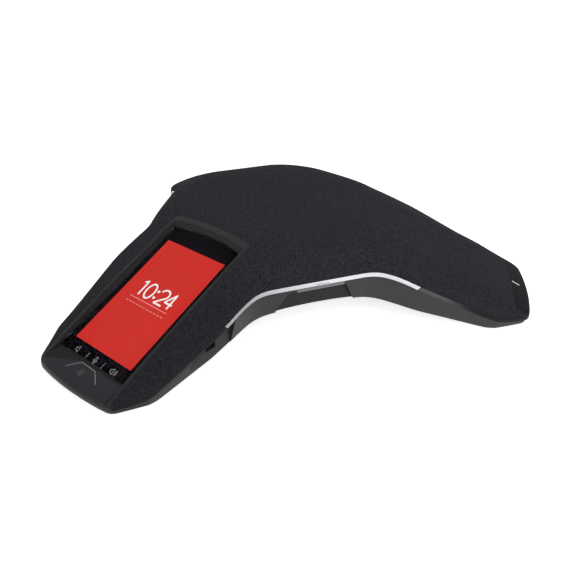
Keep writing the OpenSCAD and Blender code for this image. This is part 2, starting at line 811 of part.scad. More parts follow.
// Boards and sockets
tab_w = 38;
module main_board() {
    color([0.1, 0.3, 0.16]) at_hub() difference() {
        union() {
            translate([0, 0, board_low]) cylinder(r = board_r, h = board_t);
            on_side(1) box([0, -tab_w / 2, board_low], [bay_face - base_wall - 0.5, tab_w / 2, board_top]);
        }
        for (a = arm_angles)
            rotate([0, 0, a]) translate([post_reach, 0, board_low - 1])
                cylinder(r = post_r + 0.6, h = board_t + 2);
    }
}
can_wall = 0.4;
module shield_can() {
    color([0.72, 0.73, 0.74]) at_hub() translate([-can_size.x / 2, -can_size.y / 2, board_top]) difference() {
        cube(can_size);
        translate([can_wall, can_wall, -1]) cube(can_size - [2 * can_wall, 2 * can_wall, can_wall - 1]);
    }
}
module ethernet_jack() {
    face = bay_face - base_wall;
    color([0.7, 0.71, 0.72]) at_hub() on_side(1) difference() {
        box(
            [face - net_size.z, net_y - net_size.x / 2, board_top],
            [face, net_y + net_size.x / 2, board_top + net_size.y]
        );
        box(
            [face - net_port.z, net_y - net_port.x / 2, board_top + 1],
            [face + 1, net_y + net_port.x / 2, board_top + 1 + net_port.y]
        );
    }
}
usb_wall = 0.6;
module usb_port() {
    color([0.75, 0.76, 0.77]) at_hub() on_side(1) difference() {
        box(
            [bay_face - usb_size.z, usb_y - usb_size.x / 2, board_top],
            [bay_face - fit, usb_y + usb_size.x / 2, board_top + usb_size.y]
        );
        box(
            [bay_face - usb_size.z + 1, usb_y - usb_size.x / 2 + usb_wall, board_top + usb_wall],
            [bay_face + 1, usb_y + usb_size.x / 2 - usb_wall, board_top + usb_size.y - usb_wall]
        );
    }
}
module mic_socket(side) {
    color([0.12, 0.12, 0.13]) at_hub() on_arm(0) mirror([0, side < 0 ? 1 : 0, 0]) difference() {
        box(
            [mic_socket_u - mic_size.x / 2, mic_face - mic_size.z, mic_socket_z],
            [mic_socket_u + mic_size.x / 2, mic_face, mic_socket_z + mic_size.y]
        );
        box(
            [mic_socket_u - mic_port.x / 2, mic_face - mic_port.z, mic_socket_z + 1],
            [mic_socket_u + mic_port.x / 2, mic_face + 1, mic_socket_z + 1 + mic_port.y]
        );
    }
}
module mic_socket_boards() {
    color([0.1, 0.3, 0.16]) at_hub() for (side = [-1, 1])
        on_arm(0) mirror([0, side < 0 ? 1 : 0, 0]) box(
            [mic_socket_u - mic_size.x / 2 - 2, mic_face - mic_size.z - 2, mic_board_low],
            [mic_socket_u + mic_size.x / 2 + 2, mic_face - 3 * fit, mic_socket_z]
        );
}

// Loudspeaker
module speaker_chamber() {
    out = spk_r + 4;
    rim = spk_r - 3;
    color([0.13, 0.13, 0.14]) at_hub() difference() {
        rotate_extrude() polygon([
            [0, chamber_low], [out, chamber_low], [out, flange_z], [rim, flange_z], [rim, flange_z - 2],
            [out - chamber_wall, flange_z - 6], [out - chamber_wall, chamber_low + chamber_wall],
            [0, chamber_low + chamber_wall]
        ]);
        rotate([0, 0, lead_angle]) translate([lead_r, 0, chamber_low - 1])
            cylinder(r = 2, h = chamber_wall + 2);
    }
}
module speaker_basket() {
    in = coil_out + 2;
    color([0.2, 0.2, 0.21]) at_hub() difference() {
        rotate_extrude() polygon([
            [in, plate_top], [basket_foot_r, plate_top], [roll_r + 1, flange_z], [spk_r, flange_z],
            [spk_r, flange_top], [roll_r - 0.5, flange_top], [roll_r - 0.5, flange_z + 0.6],
            [spider_r, plate_top + basket_ledge], [spider_r - 2, plate_top + basket_ledge],
            [spider_r - 2, plate_top + basket_floor_t], [in, plate_top + basket_floor_t]
        ]);
        for (a = [0 : 90 : 270])
            rotate([0, 0, a])
                box([basket_foot_r + 1, -8, plate_top + basket_ledge], [roll_r - 2, 8, flange_z - 0.2]);
    }
}
module tube(r_in, r_out, low, high) {
    translate([0, 0, low]) difference() {
        cylinder(r = r_out, h = high - low);
        translate([0, 0, -1]) cylinder(r = r_in, h = high - low + 2);
    }
}
module speaker_yoke() {
    color([0.55, 0.55, 0.56]) at_hub() {
        translate([0, 0, yoke_low]) cylinder(d = magnet_d, h = steel_t);
        translate([0, 0, yoke_low]) cylinder(r = coil_in - coil_gap, h = plate_top - yoke_low);
    }
}
module speaker_magnet() {
    color([0.2, 0.2, 0.2]) at_hub() tube(coil_out + coil_gap + 2.5, magnet_d / 2, yoke_top, magnet_top);
}
module speaker_top_plate() {
    color([0.55, 0.55, 0.56]) at_hub() tube(coil_out + coil_gap, magnet_d / 2 - 1, magnet_top, plate_top);
}
module voice_coil() {
    color([0.72, 0.42, 0.2]) at_hub() tube(coil_in, coil_out, magnet_top - 2, neck_z + 1.6);
}
// The spider and the surround are drawn at rest, moving_gap clear of the coil and the cone
moving_gap = 0.3;
spider_waves = 3;
spider_t = 0.4;
spider_rise = 0.3;
module speaker_spider() {
    steps = 24;
    from = coil_out + moving_gap;
    z = plate_top + basket_ledge + fit + spider_t / 2;
    mids = [for (k = [0 : steps]) let (f = k / steps) [
        from + (spider_r - from) * f,
        z - spider_rise * sin(360 * spider_waves * f)
    ]];
    color([0.55, 0.42, 0.2]) at_hub() rotate_extrude() polygon(concat(
        [for (p = mids) p - [0, spider_t / 2]],
        [for (p = reversed(mids)) p + [0, spider_t / 2]]
    ));
}
cone_edge_z = flange_top + fit;
cone_bulge = 0.3;
function cone_mid(f) = [
    neck_r + (cone_r - neck_r) * f,
    neck_z + (cone_edge_z - neck_z) * f - cone_bulge * sin(180 * f)
];
module speaker_cone() {
    marks = [for (f = [0 : 0.1 : 1]) f];
    color([0.12, 0.12, 0.12]) at_hub() rotate_extrude() polygon(concat(
        [for (f = marks) cone_mid(f)],
        [for (f = reversed(marks)) cone_mid(f) + [0, paper_t]]
    ));
}
cap_share = 0.16;
cap_rise = 3.2;
module dust_cap() {
    rim = cone_mid(cap_share) + [0, paper_t + fit];
    marks = [for (f = [0 : 0.125 : 1]) f];
    color([0.1, 0.1, 0.1]) at_hub() rotate_extrude() polygon(concat(
        [for (f = marks) [rim.x * f, rim.y + cap_rise * (1 - f * f)]],
        [for (f = reversed(marks)) [rim.x * f, rim.y + paper_t + cap_rise * (1 - f * f)]]
    ));
}
roll_t = 0.5;
module speaker_surround() {
    mid = [cone_r + roll_w / 2, cone_edge_z];
    arc_r = roll_w / 2 - moving_gap;
    foot_z = cone_edge_z + roll_t;
    color([0.07, 0.07, 0.07]) at_hub() rotate_extrude() polygon(concat(
        [for (a = [180 : -20 : 20]) mid + arc_r * [cos(a), sin(a)]],
        [[mid.x + arc_r, foot_z], [lip_r, foot_z], [lip_r, cone_edge_z]],
        [for (a = [0 : 20 : 180]) mid + (arc_r - roll_t) * [cos(a), sin(a)]]
    ));
}
module speaker_gasket() {
    color([0.05, 0.05, 0.05]) at_hub() tube(lip_r + 0.3, spk_r, flange_top, flange_top + gasket_t);
}
plug_size = [6, 4, 3];
module speaker_lead() {
    slope = basket_h / (roll_r + 1 - basket_foot_r);
    top = plate_top + slope * (lead_r - 2 * lead_wire_r - basket_foot_r) - 2 * fit;
    color([0.6, 0.12, 0.1]) at_hub() rotate([0, 0, lead_angle]) translate([lead_r, 0, board_top]) {
        translate([-plug_size.x / 2, -plug_size.y / 2, 0]) cube(plug_size);
        for (y = [-1.1, 1.1] * lead_wire_r)
            translate([0, y, 0]) cylinder(r = lead_wire_r, h = top - board_top);
    }
}

// Microphones, feet and screws
module mic_boards() {
    color([0.1, 0.3, 0.16]) at_hub() for (k = [0 : 2])
        on_arm(k) translate([mic_reach, 0, mic_stem_top]) cylinder(r = mic_disc_r, h = mic_disc_t);
}
boot_r = 2.6;
boot_bore_r = 0.8;
module mic_boots() {
    low = mic_stem_top + mic_disc_t;
    chin_top = glass_at((mic_reach - lcd_reach) / cos(tilt)).y;
    chin_in = chin_top - chin_wall / cos(tilt) - 2 * fit - boot_r * arm_fall;
    cap_in = roof_z(mic_reach, cap_wall) - 3 * fit - boot_r * arm_fall;
    color([0.06, 0.06, 0.06]) at_hub() for (k = [0 : 2])
        on_arm(k) translate([mic_reach, 0, 0]) tube(boot_bore_r, boot_r, low, k == 0 ? chin_in : cap_in);
}
module foot(k) {
    half = foot_len / 2 - foot_w / 2;
    color([0.07, 0.07, 0.07]) at_hub() on_arm(k) translate([foot_reach, 0, 0]) {
        translate([-foot_w / 2, -half, 0]) cube([foot_w, 2 * half, foot_h]);
        for (t = [-half, half]) translate([0, t, 0]) cylinder(d = foot_w, h = foot_h);
    }
}
module housing_screws() {
    color([0.6, 0.6, 0.62]) at_hub() each_screw() translate([0, 0, screw_low($screw)]) {
        cylinder(r = screw_head_r, h = screw_head_h);
        cylinder(r = screw_r, h = screw_split($screw) + boss_grip - 1 - screw_low($screw));
    }
}

base_housing();
top_housing();
fabric_cover();
light_guide(0);  // light_guide_right
light_guide(1);  // light_guide_back
light_guide(2);  // light_guide_left
edge_trim(0);  // edge_trim_front
edge_trim(1);  // edge_trim_right
edge_trim(2);  // edge_trim_left
display_bezel();
display_lens();
display_chin();
lcd_panel();
lcd_backlight();
lcd_backplate();
touch_key_board();
end_cap(1);  // end_cap_right
end_cap(2);  // end_cap_left
led_boards();
main_board();
shield_can();
ethernet_jack();
usb_port();
mic_socket(1);  // mic_socket_right
mic_socket(-1);  // mic_socket_left
mic_socket_boards();
display_ribbon();
speaker_chamber();
speaker_basket();
speaker_yoke();
speaker_magnet();
speaker_top_plate();
voice_coil();
speaker_spider();
speaker_cone();
dust_cap();
speaker_surround();
speaker_gasket();
speaker_lead();
mic_boards();
mic_boots();
foot(0);  // foot_front
foot(1);  // foot_right
foot(2);  // foot_left
housing_screws();
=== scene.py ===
"""Looks of the three-armed conference phone: stretched fabric, light strips, display, base and insides."""
import math

import bmesh
import bpy
import numpy as np
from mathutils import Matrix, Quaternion, Vector
from mathutils.bvhtree import BVHTree


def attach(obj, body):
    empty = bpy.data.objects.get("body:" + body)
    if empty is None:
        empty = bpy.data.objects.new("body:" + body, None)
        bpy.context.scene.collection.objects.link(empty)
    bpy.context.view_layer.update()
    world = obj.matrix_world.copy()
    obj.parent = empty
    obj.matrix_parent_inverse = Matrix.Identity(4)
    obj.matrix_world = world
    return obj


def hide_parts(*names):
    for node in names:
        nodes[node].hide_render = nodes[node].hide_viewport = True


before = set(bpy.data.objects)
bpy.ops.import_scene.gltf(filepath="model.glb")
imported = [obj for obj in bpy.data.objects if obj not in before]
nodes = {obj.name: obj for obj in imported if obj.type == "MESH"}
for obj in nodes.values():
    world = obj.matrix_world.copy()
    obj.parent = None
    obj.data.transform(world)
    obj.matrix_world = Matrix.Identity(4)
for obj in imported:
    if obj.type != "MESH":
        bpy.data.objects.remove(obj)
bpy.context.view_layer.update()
scene = bpy.context.scene

# Sizes of the housing in millimetres, as the part's source has them
MM = 0.001
ARM_REACH, SIDE_REACH = 197.3, 91.0
ROOT_HALF, TIP_HALF, END_HALF = 58.0, 48.5, 36.0
CHAMFER_LEN, END_BOW = 22.7, 3.0
ROOT_R, TAPER_R, CHAMFER_R, END_R = 28.0, 60.0, 14.0, 10.0
CROWN_Z, CROWN_FLAT, TIP_Z, CROWN_BEND = 70.0, 69.5, 12.4, 5.0
BAND_Z, BAND_FLAT, BAND_RUN, BAND_TIP_Z, BAND_BEND, TIP_BEND = 44.9, 94.0, 21.0, 7.2, 6.0, 3.0
SHOULDER_RUN, SHOULDER_POWER, HUB_BLEND, SUPPORT_BLEND = 51.0, 3.1, 13.6, 14.0
BAND_H, BAND_W, STRIP_REACH = 3.5, 4.0, 113.6
BELLY_Z, BELLY_FLAT, FOOT_RUN, BELLY_BEND, FOOT_H = 24.7, 65.5, 34.0, 8.0, 1.5
ARM_FALL = (CROWN_Z - TIP_Z) / (ARM_REACH - CROWN_FLAT)
BAND_FALL = (BAND_Z - BAND_TIP_Z) / (ARM_REACH - BAND_RUN - BAND_FLAT)
BELLY_FALL = (BELLY_Z - FOOT_H) / (ARM_REACH - FOOT_RUN - BELLY_FLAT)
BASE_WALL, WALL_STEP, WALL_LEAN = 2.2, 1.5, 4.7
BAY_W, BAY_FLARE, BAY_D, BAY_TOP, BAY_ROOF = 42.0, 8.0, 9.0, 40.0, 1.2
NOTCH_FROM, NOTCH_TO, NOTCH_D = 104.0, 140.0, 8.0
FABRIC_T, FIT, CAP_WALL, CAP_W, CAP_LEN = 0.8, 0.1, 2.4, 72.4, 13.5
CHIN_RUN, GLASS_DROP, LCD_W, PICTURE_SHARE = 18.7, 4.15, 56.16, 0.6662
LENS_W, LENS_OVER, LENS_TOP_BOW, LENS_UNDER, LENS_BOW, LENS_T = 66.0, 14.7, 3.5, 9.2, 1.0, 1.8
LCD_FRAME, MODULE_Z, BEZEL_SIDE, BEZEL_RIM = 2.4, 6.0, 3.2, 8.0
TILT = math.atan(ARM_FALL)
LCD_L = PICTURE_SHARE * (ARM_REACH - CROWN_FLAT) / math.cos(TILT)
LENS_UP, LENS_DOWN = LCD_L / 2 + LENS_OVER, LCD_L / 2 + LENS_UNDER
LCD_REACH = ARM_REACH - CHIN_RUN - LENS_DOWN * math.cos(TILT)
BEZEL_W = LENS_W + 2 * BEZEL_SIDE
RECESS_LEAN, RECESS_RUN = 22.0, 6.0
MIC_REACH = ARM_REACH - 9.5
ARMS = np.radians([-90.0, 30.0, 150.0])
SIXTH_TURN = math.radians(60.0)
SIDES = ARMS + SIXTH_TURN
ROOT_U = (SIDE_REACH - ROOT_HALF * math.sin(SIXTH_TURN)) / math.cos(SIXTH_TURN)


def softplus(x, s):
    return s * np.logaddexp(0.0, np.asarray(x, float) / s)


def along_arms(p):
    return np.stack([p[..., 0] * math.cos(a) + p[..., 1] * math.sin(a) for a in ARMS], axis=-1)


def arm_u(p):
    return along_arms(p).max(axis=-1)


def soft_u(p):
    return HUB_BLEND * np.logaddexp.reduce(along_arms(p) / HUB_BLEND, axis=-1)


def ridge(u):
    return CROWN_Z - ARM_FALL * softplus(u - CROWN_FLAT, CROWN_BEND)


def band_mid(u):
    line = BAND_Z - BAND_FALL * softplus(u - BAND_FLAT, BAND_BEND)
    return BAND_TIP_Z + softplus(line - BAND_TIP_Z, TIP_BEND)


def belly(u):
    return np.maximum(FOOT_H, BELLY_Z - BELLY_FALL * softplus(u - BELLY_FLAT, BELLY_BEND))


def shoulder(d):
    q = np.clip(d / SHOULDER_RUN, 0.0, 1.0)
    return (1 - (1 - q) ** SHOULDER_POWER) ** (1 / SHOULDER_POWER)


def turned(points, angle):
    points = np.asarray(points, float)
    c, s = math.cos(angle), math.sin(angle)
    out = points.copy()
    out[..., 0] = points[..., 0] * c - points[..., 1] * s
    out[..., 1] = points[..., 0] * s + points[..., 1] * c
    return out


def fillet(a, p, b, radius, step=1.6):
    """Points of the arc that rounds the corner p between its neighbours a and b."""
    da, db = (a - p) / np.linalg.norm(a - p), (b - p) / np.linalg.norm(b - p)
    half = math.acos(np.clip(da @ db, -1, 1)) / 2
    middle = (da + db) / np.linalg.norm(da + db)
    centre = p + middle * radius / math.sin(half)
    start, end = p + da * radius / math.tan(half) - centre, p + db * radius / math.tan(half) - centre
    first = math.atan2(start[1], start[0])
    sweep = math.atan2(end[1], end[0]) - first
    sweep -= 2 * math.pi * round(sweep / (2 * math.pi))
    n = max(2, math.ceil(abs(sweep) * radius / step))
    angles = first + sweep * np.arange(n + 1) / n
    return [centre + radius * np.array([math.cos(t), math.sin(t)]) for t in angles]


def plan_outline(step=3.0):
    """The plan's edge, anticlockwise, with rounded corners."""
    end_u = ARM_REACH - END_BOW
    half_arm = [
        (ROOT_U, ROOT_HALF, ROOT_R), (STRIP_REACH, ROOT_HALF, TAPER_R),
        (end_u - CHAMFER_LEN, TIP_HALF, CHAMFER_R), (end_u, END_HALF, END_R),
    ]
    bow = [(end_u + END_BOW * (1 - f * f), f * END_HALF, 0.0) for f in np.linspace(-0.72, 0.72, 13)]
    arm = [(u, -t, r) for u, t, r in half_arm] + bow + half_arm[::-1]
    corners = [(turned(np.array([u, t]), a), r) for a in ARMS for u, t, r in arm]
    points = []
    for i, (p, r) in enumerate(corners):
        points += [p] if r == 0 else fillet(corners[i - 1][0], p, corners[(i + 1) % len(corners)][0], r)
    edge = []
    for i, p in enumerate(points):
        q = points[(i + 1) % len(points)]
        n = max(1, math.ceil(np.linalg.norm(q - p) / step))
        edge += [p + (q - p) * j / n for j in range(n)]
    return np.array(edge)


def outward_directions(edge):
    """Unit directions square to the plan's edge, out of it."""
    ahead = np.roll(edge, -1, axis=0) - edge
    ahead /= np.linalg.norm(ahead, axis=1)[:, None]
    along = ahead + np.roll(ahead, 1, axis=0)
    along /= np.linalg.norm(along, axis=1)[:, None]
    return np.stack([along[:, 1], -along[:, 0]], axis=1)


def edge_support(edge, outward):
    """How far the edge's tangents lie from the hub, blended along the edge."""
    span = np.linalg.norm(np.roll(edge, -1, axis=0) - np.roll(edge, 1, axis=0), axis=1)
    near = np.exp(-((edge[:, None] - edge[None]) ** 2).sum(-1) / (2 * SUPPORT_BLEND**2)) * span
    return (near @ np.sum(edge * outward, axis=1)) / near.sum(axis=1)


EDGE = plan_outline()
COUNT = len(EDGE)
OUTWARD = outward_directions(EDGE)
SUPPORT = edge_support(EDGE, OUTWARD)
EDGE_U = arm_u(EDGE)
BAND = band_mid(EDGE_U)
HUB_Y = -(EDGE[:, 1].max() + EDGE[:, 1].min()) / 2
FOOT_E = WALL_STEP + WALL_LEAN * (BAND - BAND_H / 2 - belly(EDGE_U)) / (BAND_Z - BAND_H / 2 - BELLY_Z)
GLASS_Z = float(ridge(LCD_REACH)) - GLASS_DROP
BEZEL_U = LCD_REACH - (LENS_UP + BEZEL_RIM) * math.cos(TILT)
MODULE_X, MODULE_Y = LCD_L / 2 + LCD_FRAME, LCD_W / 2 + LCD_FRAME


def inset(e):
    return EDGE - e * OUTWARD


# The flat crown takes up at most this share of the way to the edge, and this share of the rings
CROWN_SHARE, CROWN_STEP = 0.52, 0.3


def dome_ring(e, step):
    """Ring of the dome's skin, e inside it, between the hub at step 0 and the edge at step 1."""
    crown = np.minimum(CROWN_SHARE, CROWN_FLAT / EDGE_U)
    if step < CROWN_STEP:
        v = crown * step / CROWN_STEP
    else:
        v = crown + (1 - crown) * (step - CROWN_STEP) / (1 - CROWN_STEP)
    p = inset(e) * v[:, None]
    low = BAND + BAND_H / 2
    high = ridge(soft_u(p)) - e
    rise = shoulder((1 - v) * (SUPPORT - e))
    return np.column_stack([p, low + np.maximum(high - low, 1.0) * rise])


DOME_STEPS = 1 - (1 - np.linspace(0, 1, 44)[1:]) ** 1.6


def dome_rings(e):
    return [dome_ring(e, s) for s in DOME_STEPS]


def dome_top(e):
    return np.array([0.0, 0.0, float(ridge(soft_u(np.zeros(2)))) - e])


def band_ring(e, up):
    return np.column_stack([inset(e), BAND + up * BAND_H / 2])


def belly_ring(e, v, lift):
    p = inset((FOOT_E + e)[:, None]) * v
    return np.column_stack([p, belly(arm_u(p)) + lift])


def at_hub(p):
    return p


def on_arm(k):
    return lambda p: turned(p, ARMS[k])


def on_side(k):
    return lambda p: turned(p, SIDES[k])


def on_glass(p):
    """From the glass's frame, X down the slope and Y across it, to the hub's."""
    p = np.asarray(p, float)
    u = LCD_REACH + p[..., 0] * math.cos(TILT) + p[..., 2] * math.sin(TILT)
    z = GLASS_Z - p[..., 0] * math.sin(TILT) + p[..., 2] * math.cos(TILT)
    return turned(np.stack([u, p[..., 1], z], axis=-1), ARMS[0])


def in_part(p):
    """From millimetres round the hub to metres in the part's frame."""
    return (np.asarray(p, float) + np.array([0.0, HUB_Y, 0.0])) * MM


def hub_points(piece):
    """A piece's points in millimetres round the hub."""
    return np.array([v.co for v in piece.data.vertices]) / MM - np.array([0.0, HUB_Y, 0.0])


def keep_values(piece, label, values):
    """Stores a value for each point of a piece, for its material or node tree to read."""
    layer = piece.data.attributes.new(label, "FLOAT", "POINT")
    layer.data.foreach_set("value", np.asarray(values, np.float32))


def at_height(plan, z):
    return np.column_stack([plan, np.full(len(plan), float(z))])


def bend(start, corner, end, steps):
    """Points of a curve from start to end that a corner pulls on."""
    return [(1 - t) ** 2 * start + 2 * t * (1 - t) * corner + t * t * end for t in np.linspace(0, 1, steps)]


def new_object(name, verts, faces):
    mesh = bpy.data.meshes.new(name)
    mesh.from_pydata([tuple(v) for v in verts], [], [tuple(int(i) for i in f) for f in faces])
    mesh.update()
    piece = bpy.data.objects.new(name, mesh)
    scene.collection.objects.link(piece)
    return piece


def skin(name, first, rings, last):
    """Closed solid through rings of points, from one pole to the other."""
    n, top = len(rings[0]), len(rings) - 1
    verts = in_part(np.vstack([first[None], *rings, last[None]]))
    i = np.arange(n)
    j = (i + 1) % n
    faces = [(0, 1 + a, 1 + b) for a, b in zip(i, j)]
    for k in range(top):
        a, b = 1 + k * n, 1 + (k + 1) * n
        faces += [(a + p, b + p, b + q, a + q) for p, q in zip(i, j)]
    a = 1 + top * n
    faces += [(len(verts) - 1, a + q, a + p) for p, q in zip(i, j)]
    return new_object(name, verts, faces)


def loft(name, sections, where=at_hub):
    """Closed solid through polygons with the same number of points, each an array of local points."""
    n = len(sections[0])
    verts = in_part(where(np.vstack(sections)))
    faces = [tuple(range(n))[::-1], tuple(range((len(sections) - 1) * n, len(sections) * n))]
    for k in range(len(sections) - 1):
        a, b = k * n, (k + 1) * n
        faces += [(a + i, a + (i + 1) % n, b + (i + 1) % n, b + i) for i in range(n)]
    piece = new_object(name, verts, faces)
    face_out(piece)
    return piece


def prism(name, plan, a, b, where=at_hub, axis="z"):
    """Closed solid of a flat polygon, drawn out from a to b along an axis."""
    plan = np.asarray(plan, float)

    def section(d):
        d = np.full(len(plan), float(d))
        if axis == "z":
            return np.column_stack([plan, d])
        if axis == "y":
            return np.column_stack([plan[:, 0], d, plan[:, 1]])
        return np.column_stack([d, plan])

    return loft(name, [section(a), section(b)], where)


def block(name, low, high, where=at_hub):
    plan = [(low[0], low[1]), (high[0], low[1]), (high[0], high[1]), (low[0], high[1])]
    return prism(name, plan, low[2], high[2], where)


def face_out(piece):
    mesh = bmesh.new()
    mesh.from_mesh(piece.data)
    bmesh.ops.recalc_face_normals(mesh, faces=mesh.faces)
    mesh.to_mesh(piece.data)
    mesh.free()


def settle(piece):
    """Turns a piece with its modifiers into a plain mesh."""
    made = bpy.data.meshes.new_from_object(piece.evaluated_get(bpy.context.evaluated_depsgraph_get()))
    piece.modifiers.clear()
    old, piece.data = piece.data, made
    bpy.data.meshes.remove(old)
    made.name = piece.name
    return piece


def joined(name, pieces):
    verts, faces, start = [], [], 0
    for p in pieces:
        verts += [v.co[:] for v in p.data.vertices]
        faces += [[start + i for i in f.vertices] for f in p.data.polygons]
        start = len(verts)
        bpy.data.objects.remove(p)
    return new_object(name, verts, faces)


def formed(piece, operation, *tools):
    """Cuts, joins or keeps the common part of a piece and its tools, which are used up."""
    for tool in tools:
        step = piece.modifiers.new(operation, "BOOLEAN")
        step.operation, step.object, step.solver = operation, tool, "MANIFOLD"
        settle(piece)
        bpy.data.objects.remove(tool)
    return piece


def smooth(piece, degrees=32):
    piece.data.shade_smooth()
    piece.data.set_sharp_from_angle(angle=math.radians(degrees))
    return piece


def softened(piece, width, segments=2, degrees=40):
    bevel = piece.modifiers.new("edges", "BEVEL")
    bevel.width, bevel.segments, bevel.limit_method = width * MM, segments, "ANGLE"
    bevel.angle_limit = math.radians(degrees)
    bevel.use_clamp_overlap = True
    return settle(piece)


def welded(name, node):
    """A merged copy of a node's mesh, to be refined."""
    mesh = bmesh.new()
    mesh.from_mesh(nodes[node].data)
    bmesh.ops.remove_doubles(mesh, verts=mesh.verts, dist=1e-6)
    bmesh.ops.dissolve_limit(mesh, angle_limit=math.radians(1), verts=mesh.verts, edges=mesh.edges)
    piece = new_object(name, [], [])
    mesh.to_mesh(piece.data)
    mesh.free()
    return piece


def finished(piece, material, body="phone", replaces=()):
    piece.data.materials.clear()
    piece.data.materials.append(material)
    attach(piece, body)
    if replaces:
        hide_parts(*replaces)
    return piece


# Node trees: a node with its settings and inputs in one call, and shared effects as groups
def fill(tree, made, inputs):
    """Gives a node its inputs, each a value or another node's socket."""
    for key, value in inputs.items():
        if isinstance(value, bpy.types.NodeSocket):
            tree.links.new(value, made.inputs[key])
        else:
            made.inputs[key].default_value = value


def node(tree, kind, inputs=None, **settings):
    made = tree.nodes.new(kind)
    for key, value in settings.items():
        setattr(made, key, value)
    fill(tree, made, inputs or {})
    return made


def math_node(tree, operation, a, b=0.0, c=0.0):
    return node(tree, "ShaderNodeMath", {0: a, 1: b, 2: c}, operation=operation).outputs[0]


def between(tree, factor, low, high, start=0.0, stop=1.0, kind="LINEAR"):
    """A value that goes from low to high while its factor goes from start to stop."""
    limits = {"Value": factor, "From Min": start, "From Max": stop, "To Min": low, "To Max": high}
    return node(tree, "ShaderNodeMapRange", limits, interpolation_type=kind).outputs["Result"]


def eased(tree, factor, low, high, start, stop):
    return between(tree, factor, low, high, start, stop, "SMOOTHSTEP")


def noise(tree, place, scale, detail, rough=0.5):
    inputs = {"Vector": place, "Scale": scale, "Detail": detail, "Roughness": rough}
    return node(tree, "ShaderNodeTexNoise", inputs).outputs["Fac"]


def mixed(tree, factor, a, b, blend="MIX"):
    return node(tree, "ShaderNodeMixRGB", {0: factor, 1: a, 2: b}, blend_type=blend).outputs[0]


def here(tree):
    """The place on the piece, in metres in the part's frame."""
    return node(tree, "ShaderNodeTexCoord").outputs["Object"]


def here_parts(tree):
    return node(tree, "ShaderNodeSeparateXYZ", {0: here(tree)}).outputs


def kept(tree, label):
    """A value that is stored for each point of the piece."""
    return node(tree, "ShaderNodeAttribute", attribute_name=label).outputs["Fac"]


def effect(name, values, outputs):
    """A shader group that takes a place and some values, with its input sockets and its output node."""
    tree = bpy.data.node_groups.new(name, "ShaderNodeTree")
    tree.interface.new_socket("Place", in_out="INPUT", socket_type="NodeSocketVector")
    for label, value in values.items():
        tree.interface.new_socket(label, in_out="INPUT", socket_type="NodeSocketFloat").default_value = value
    for label in outputs:
        tree.interface.new_socket(label, in_out="OUTPUT", socket_type="NodeSocketFloat")
    return tree, tree.nodes.new("NodeGroupInput").outputs, tree.nodes.new("NodeGroupOutput")


def grain_effect():
    """Fine moulded grain, and slow patches where hands and cloths have polished it."""
    sizes = {"Grain Size": 0.0005, "Patch Size": 0.03}
    tree, given, out = effect("moulded_grain", sizes, ["Height", "Patches", "Specks"])
    place = given["Place"]
    fine = math_node(tree, "DIVIDE", 1.0, given["Grain Size"])
    wide = math_node(tree, "DIVIDE", 1.0, given["Patch Size"])
    dust_scale = math_node(tree, "MULTIPLY", fine, 0.12)
    dust = node(tree, "ShaderNodeTexVoronoi", {"Vector": place, "Scale": dust_scale}).outputs["Distance"]
    fill(tree, out, {
        "Height": noise(tree, place, fine, 3.0, 0.6),
        "Patches": noise(tree, place, wide, 4.0, 0.55),
        "Specks": between(tree, dust, 1.0, 0.0, 0.02, 0.06),
    })
    return tree


def weave_effect():
    """Open warp-knit mesh: two families of threads, with holes between them."""
    tree, given, out = effect("woven_mesh", {"Pitch": 0.0013}, ["Height", "Holes", "Threads", "Stitches"])
    parts = node(tree, "ShaderNodeSeparateXYZ", {0: given["Place"]}).outputs
    turn = math_node(tree, "DIVIDE", 2 * math.pi, given["Pitch"])
    waves = [math_node(tree, "SINE", math_node(tree, "MULTIPLY", parts[axis], turn)) for axis in (0, 1)]
    bumps = math_node(tree, "MULTIPLY", waves[0], waves[1])
    height = math_node(tree, "MULTIPLY_ADD", bumps, 0.5, 0.5)
    half = math_node(tree, "MULTIPLY", given["Pitch"], 0.5)
    cells = [math_node(tree, "FLOOR", math_node(tree, "DIVIDE", parts[axis], half)) for axis in (0, 1)]
    cell = node(tree, "ShaderNodeCombineXYZ", {0: cells[0], 1: cells[1]})
    stitch = node(tree, "ShaderNodeTexWhiteNoise", {"Vector": cell.outputs[0]}, noise_dimensions="2D")
    fill(tree, out, {
        "Height": height,
        "Holes": eased(tree, height, 1.0, 0.0, 0.12, 0.4),
        "Threads": noise(tree, given["Place"], 2600.0, 2.0),
        "Stitches": stitch.outputs["Value"],
    })
    return tree


def brush_effect():
    """Long fine lines of drawn or brushed metal."""
    tree, given, out = effect("drawn_lines", {"Line Size": 0.0004}, ["Lines"])
    scale = math_node(tree, "DIVIDE", 1.0, given["Line Size"])
    stretched = node(tree, "ShaderNodeMapping", {"Vector": given["Place"], "Scale": (0.04, 1.0, 1.0)})
    fill(tree, out, {"Lines": noise(tree, stretched.outputs[0], scale, 3.0)})
    return tree


def shade_effect():
    """How far a place lies towards the shaded side of the display arm, from 0 to 1."""
    tree, given, out = effect("shaded_side", {"Start": 0.07, "End": 0.12}, ["Shade"])
    across, down = 0.5, 0.866
    sides = {0: given["Place"], 1: (across, -down, 0.0)}
    along = node(tree, "ShaderNodeVectorMath", sides, operation="DOT_PRODUCT").outputs["Value"]
    from_hub = math_node(tree, "ADD", along, down * HUB_Y * MM)
    fill(tree, out, {"Shade": eased(tree, from_hub, 0.0, 1.0, given["Start"], given["End"])})
    return tree


GRAIN, WEAVE, BRUSH, SHADE = grain_effect(), weave_effect(), brush_effect(), shade_effect()


def material(name):
    made = bpy.data.materials.new(name)
    made.use_nodes = True
    tree = made.node_tree
    shader = next(n for n in tree.nodes if n.type == "BSDF_PRINCIPLED")
    return made, tree, shader


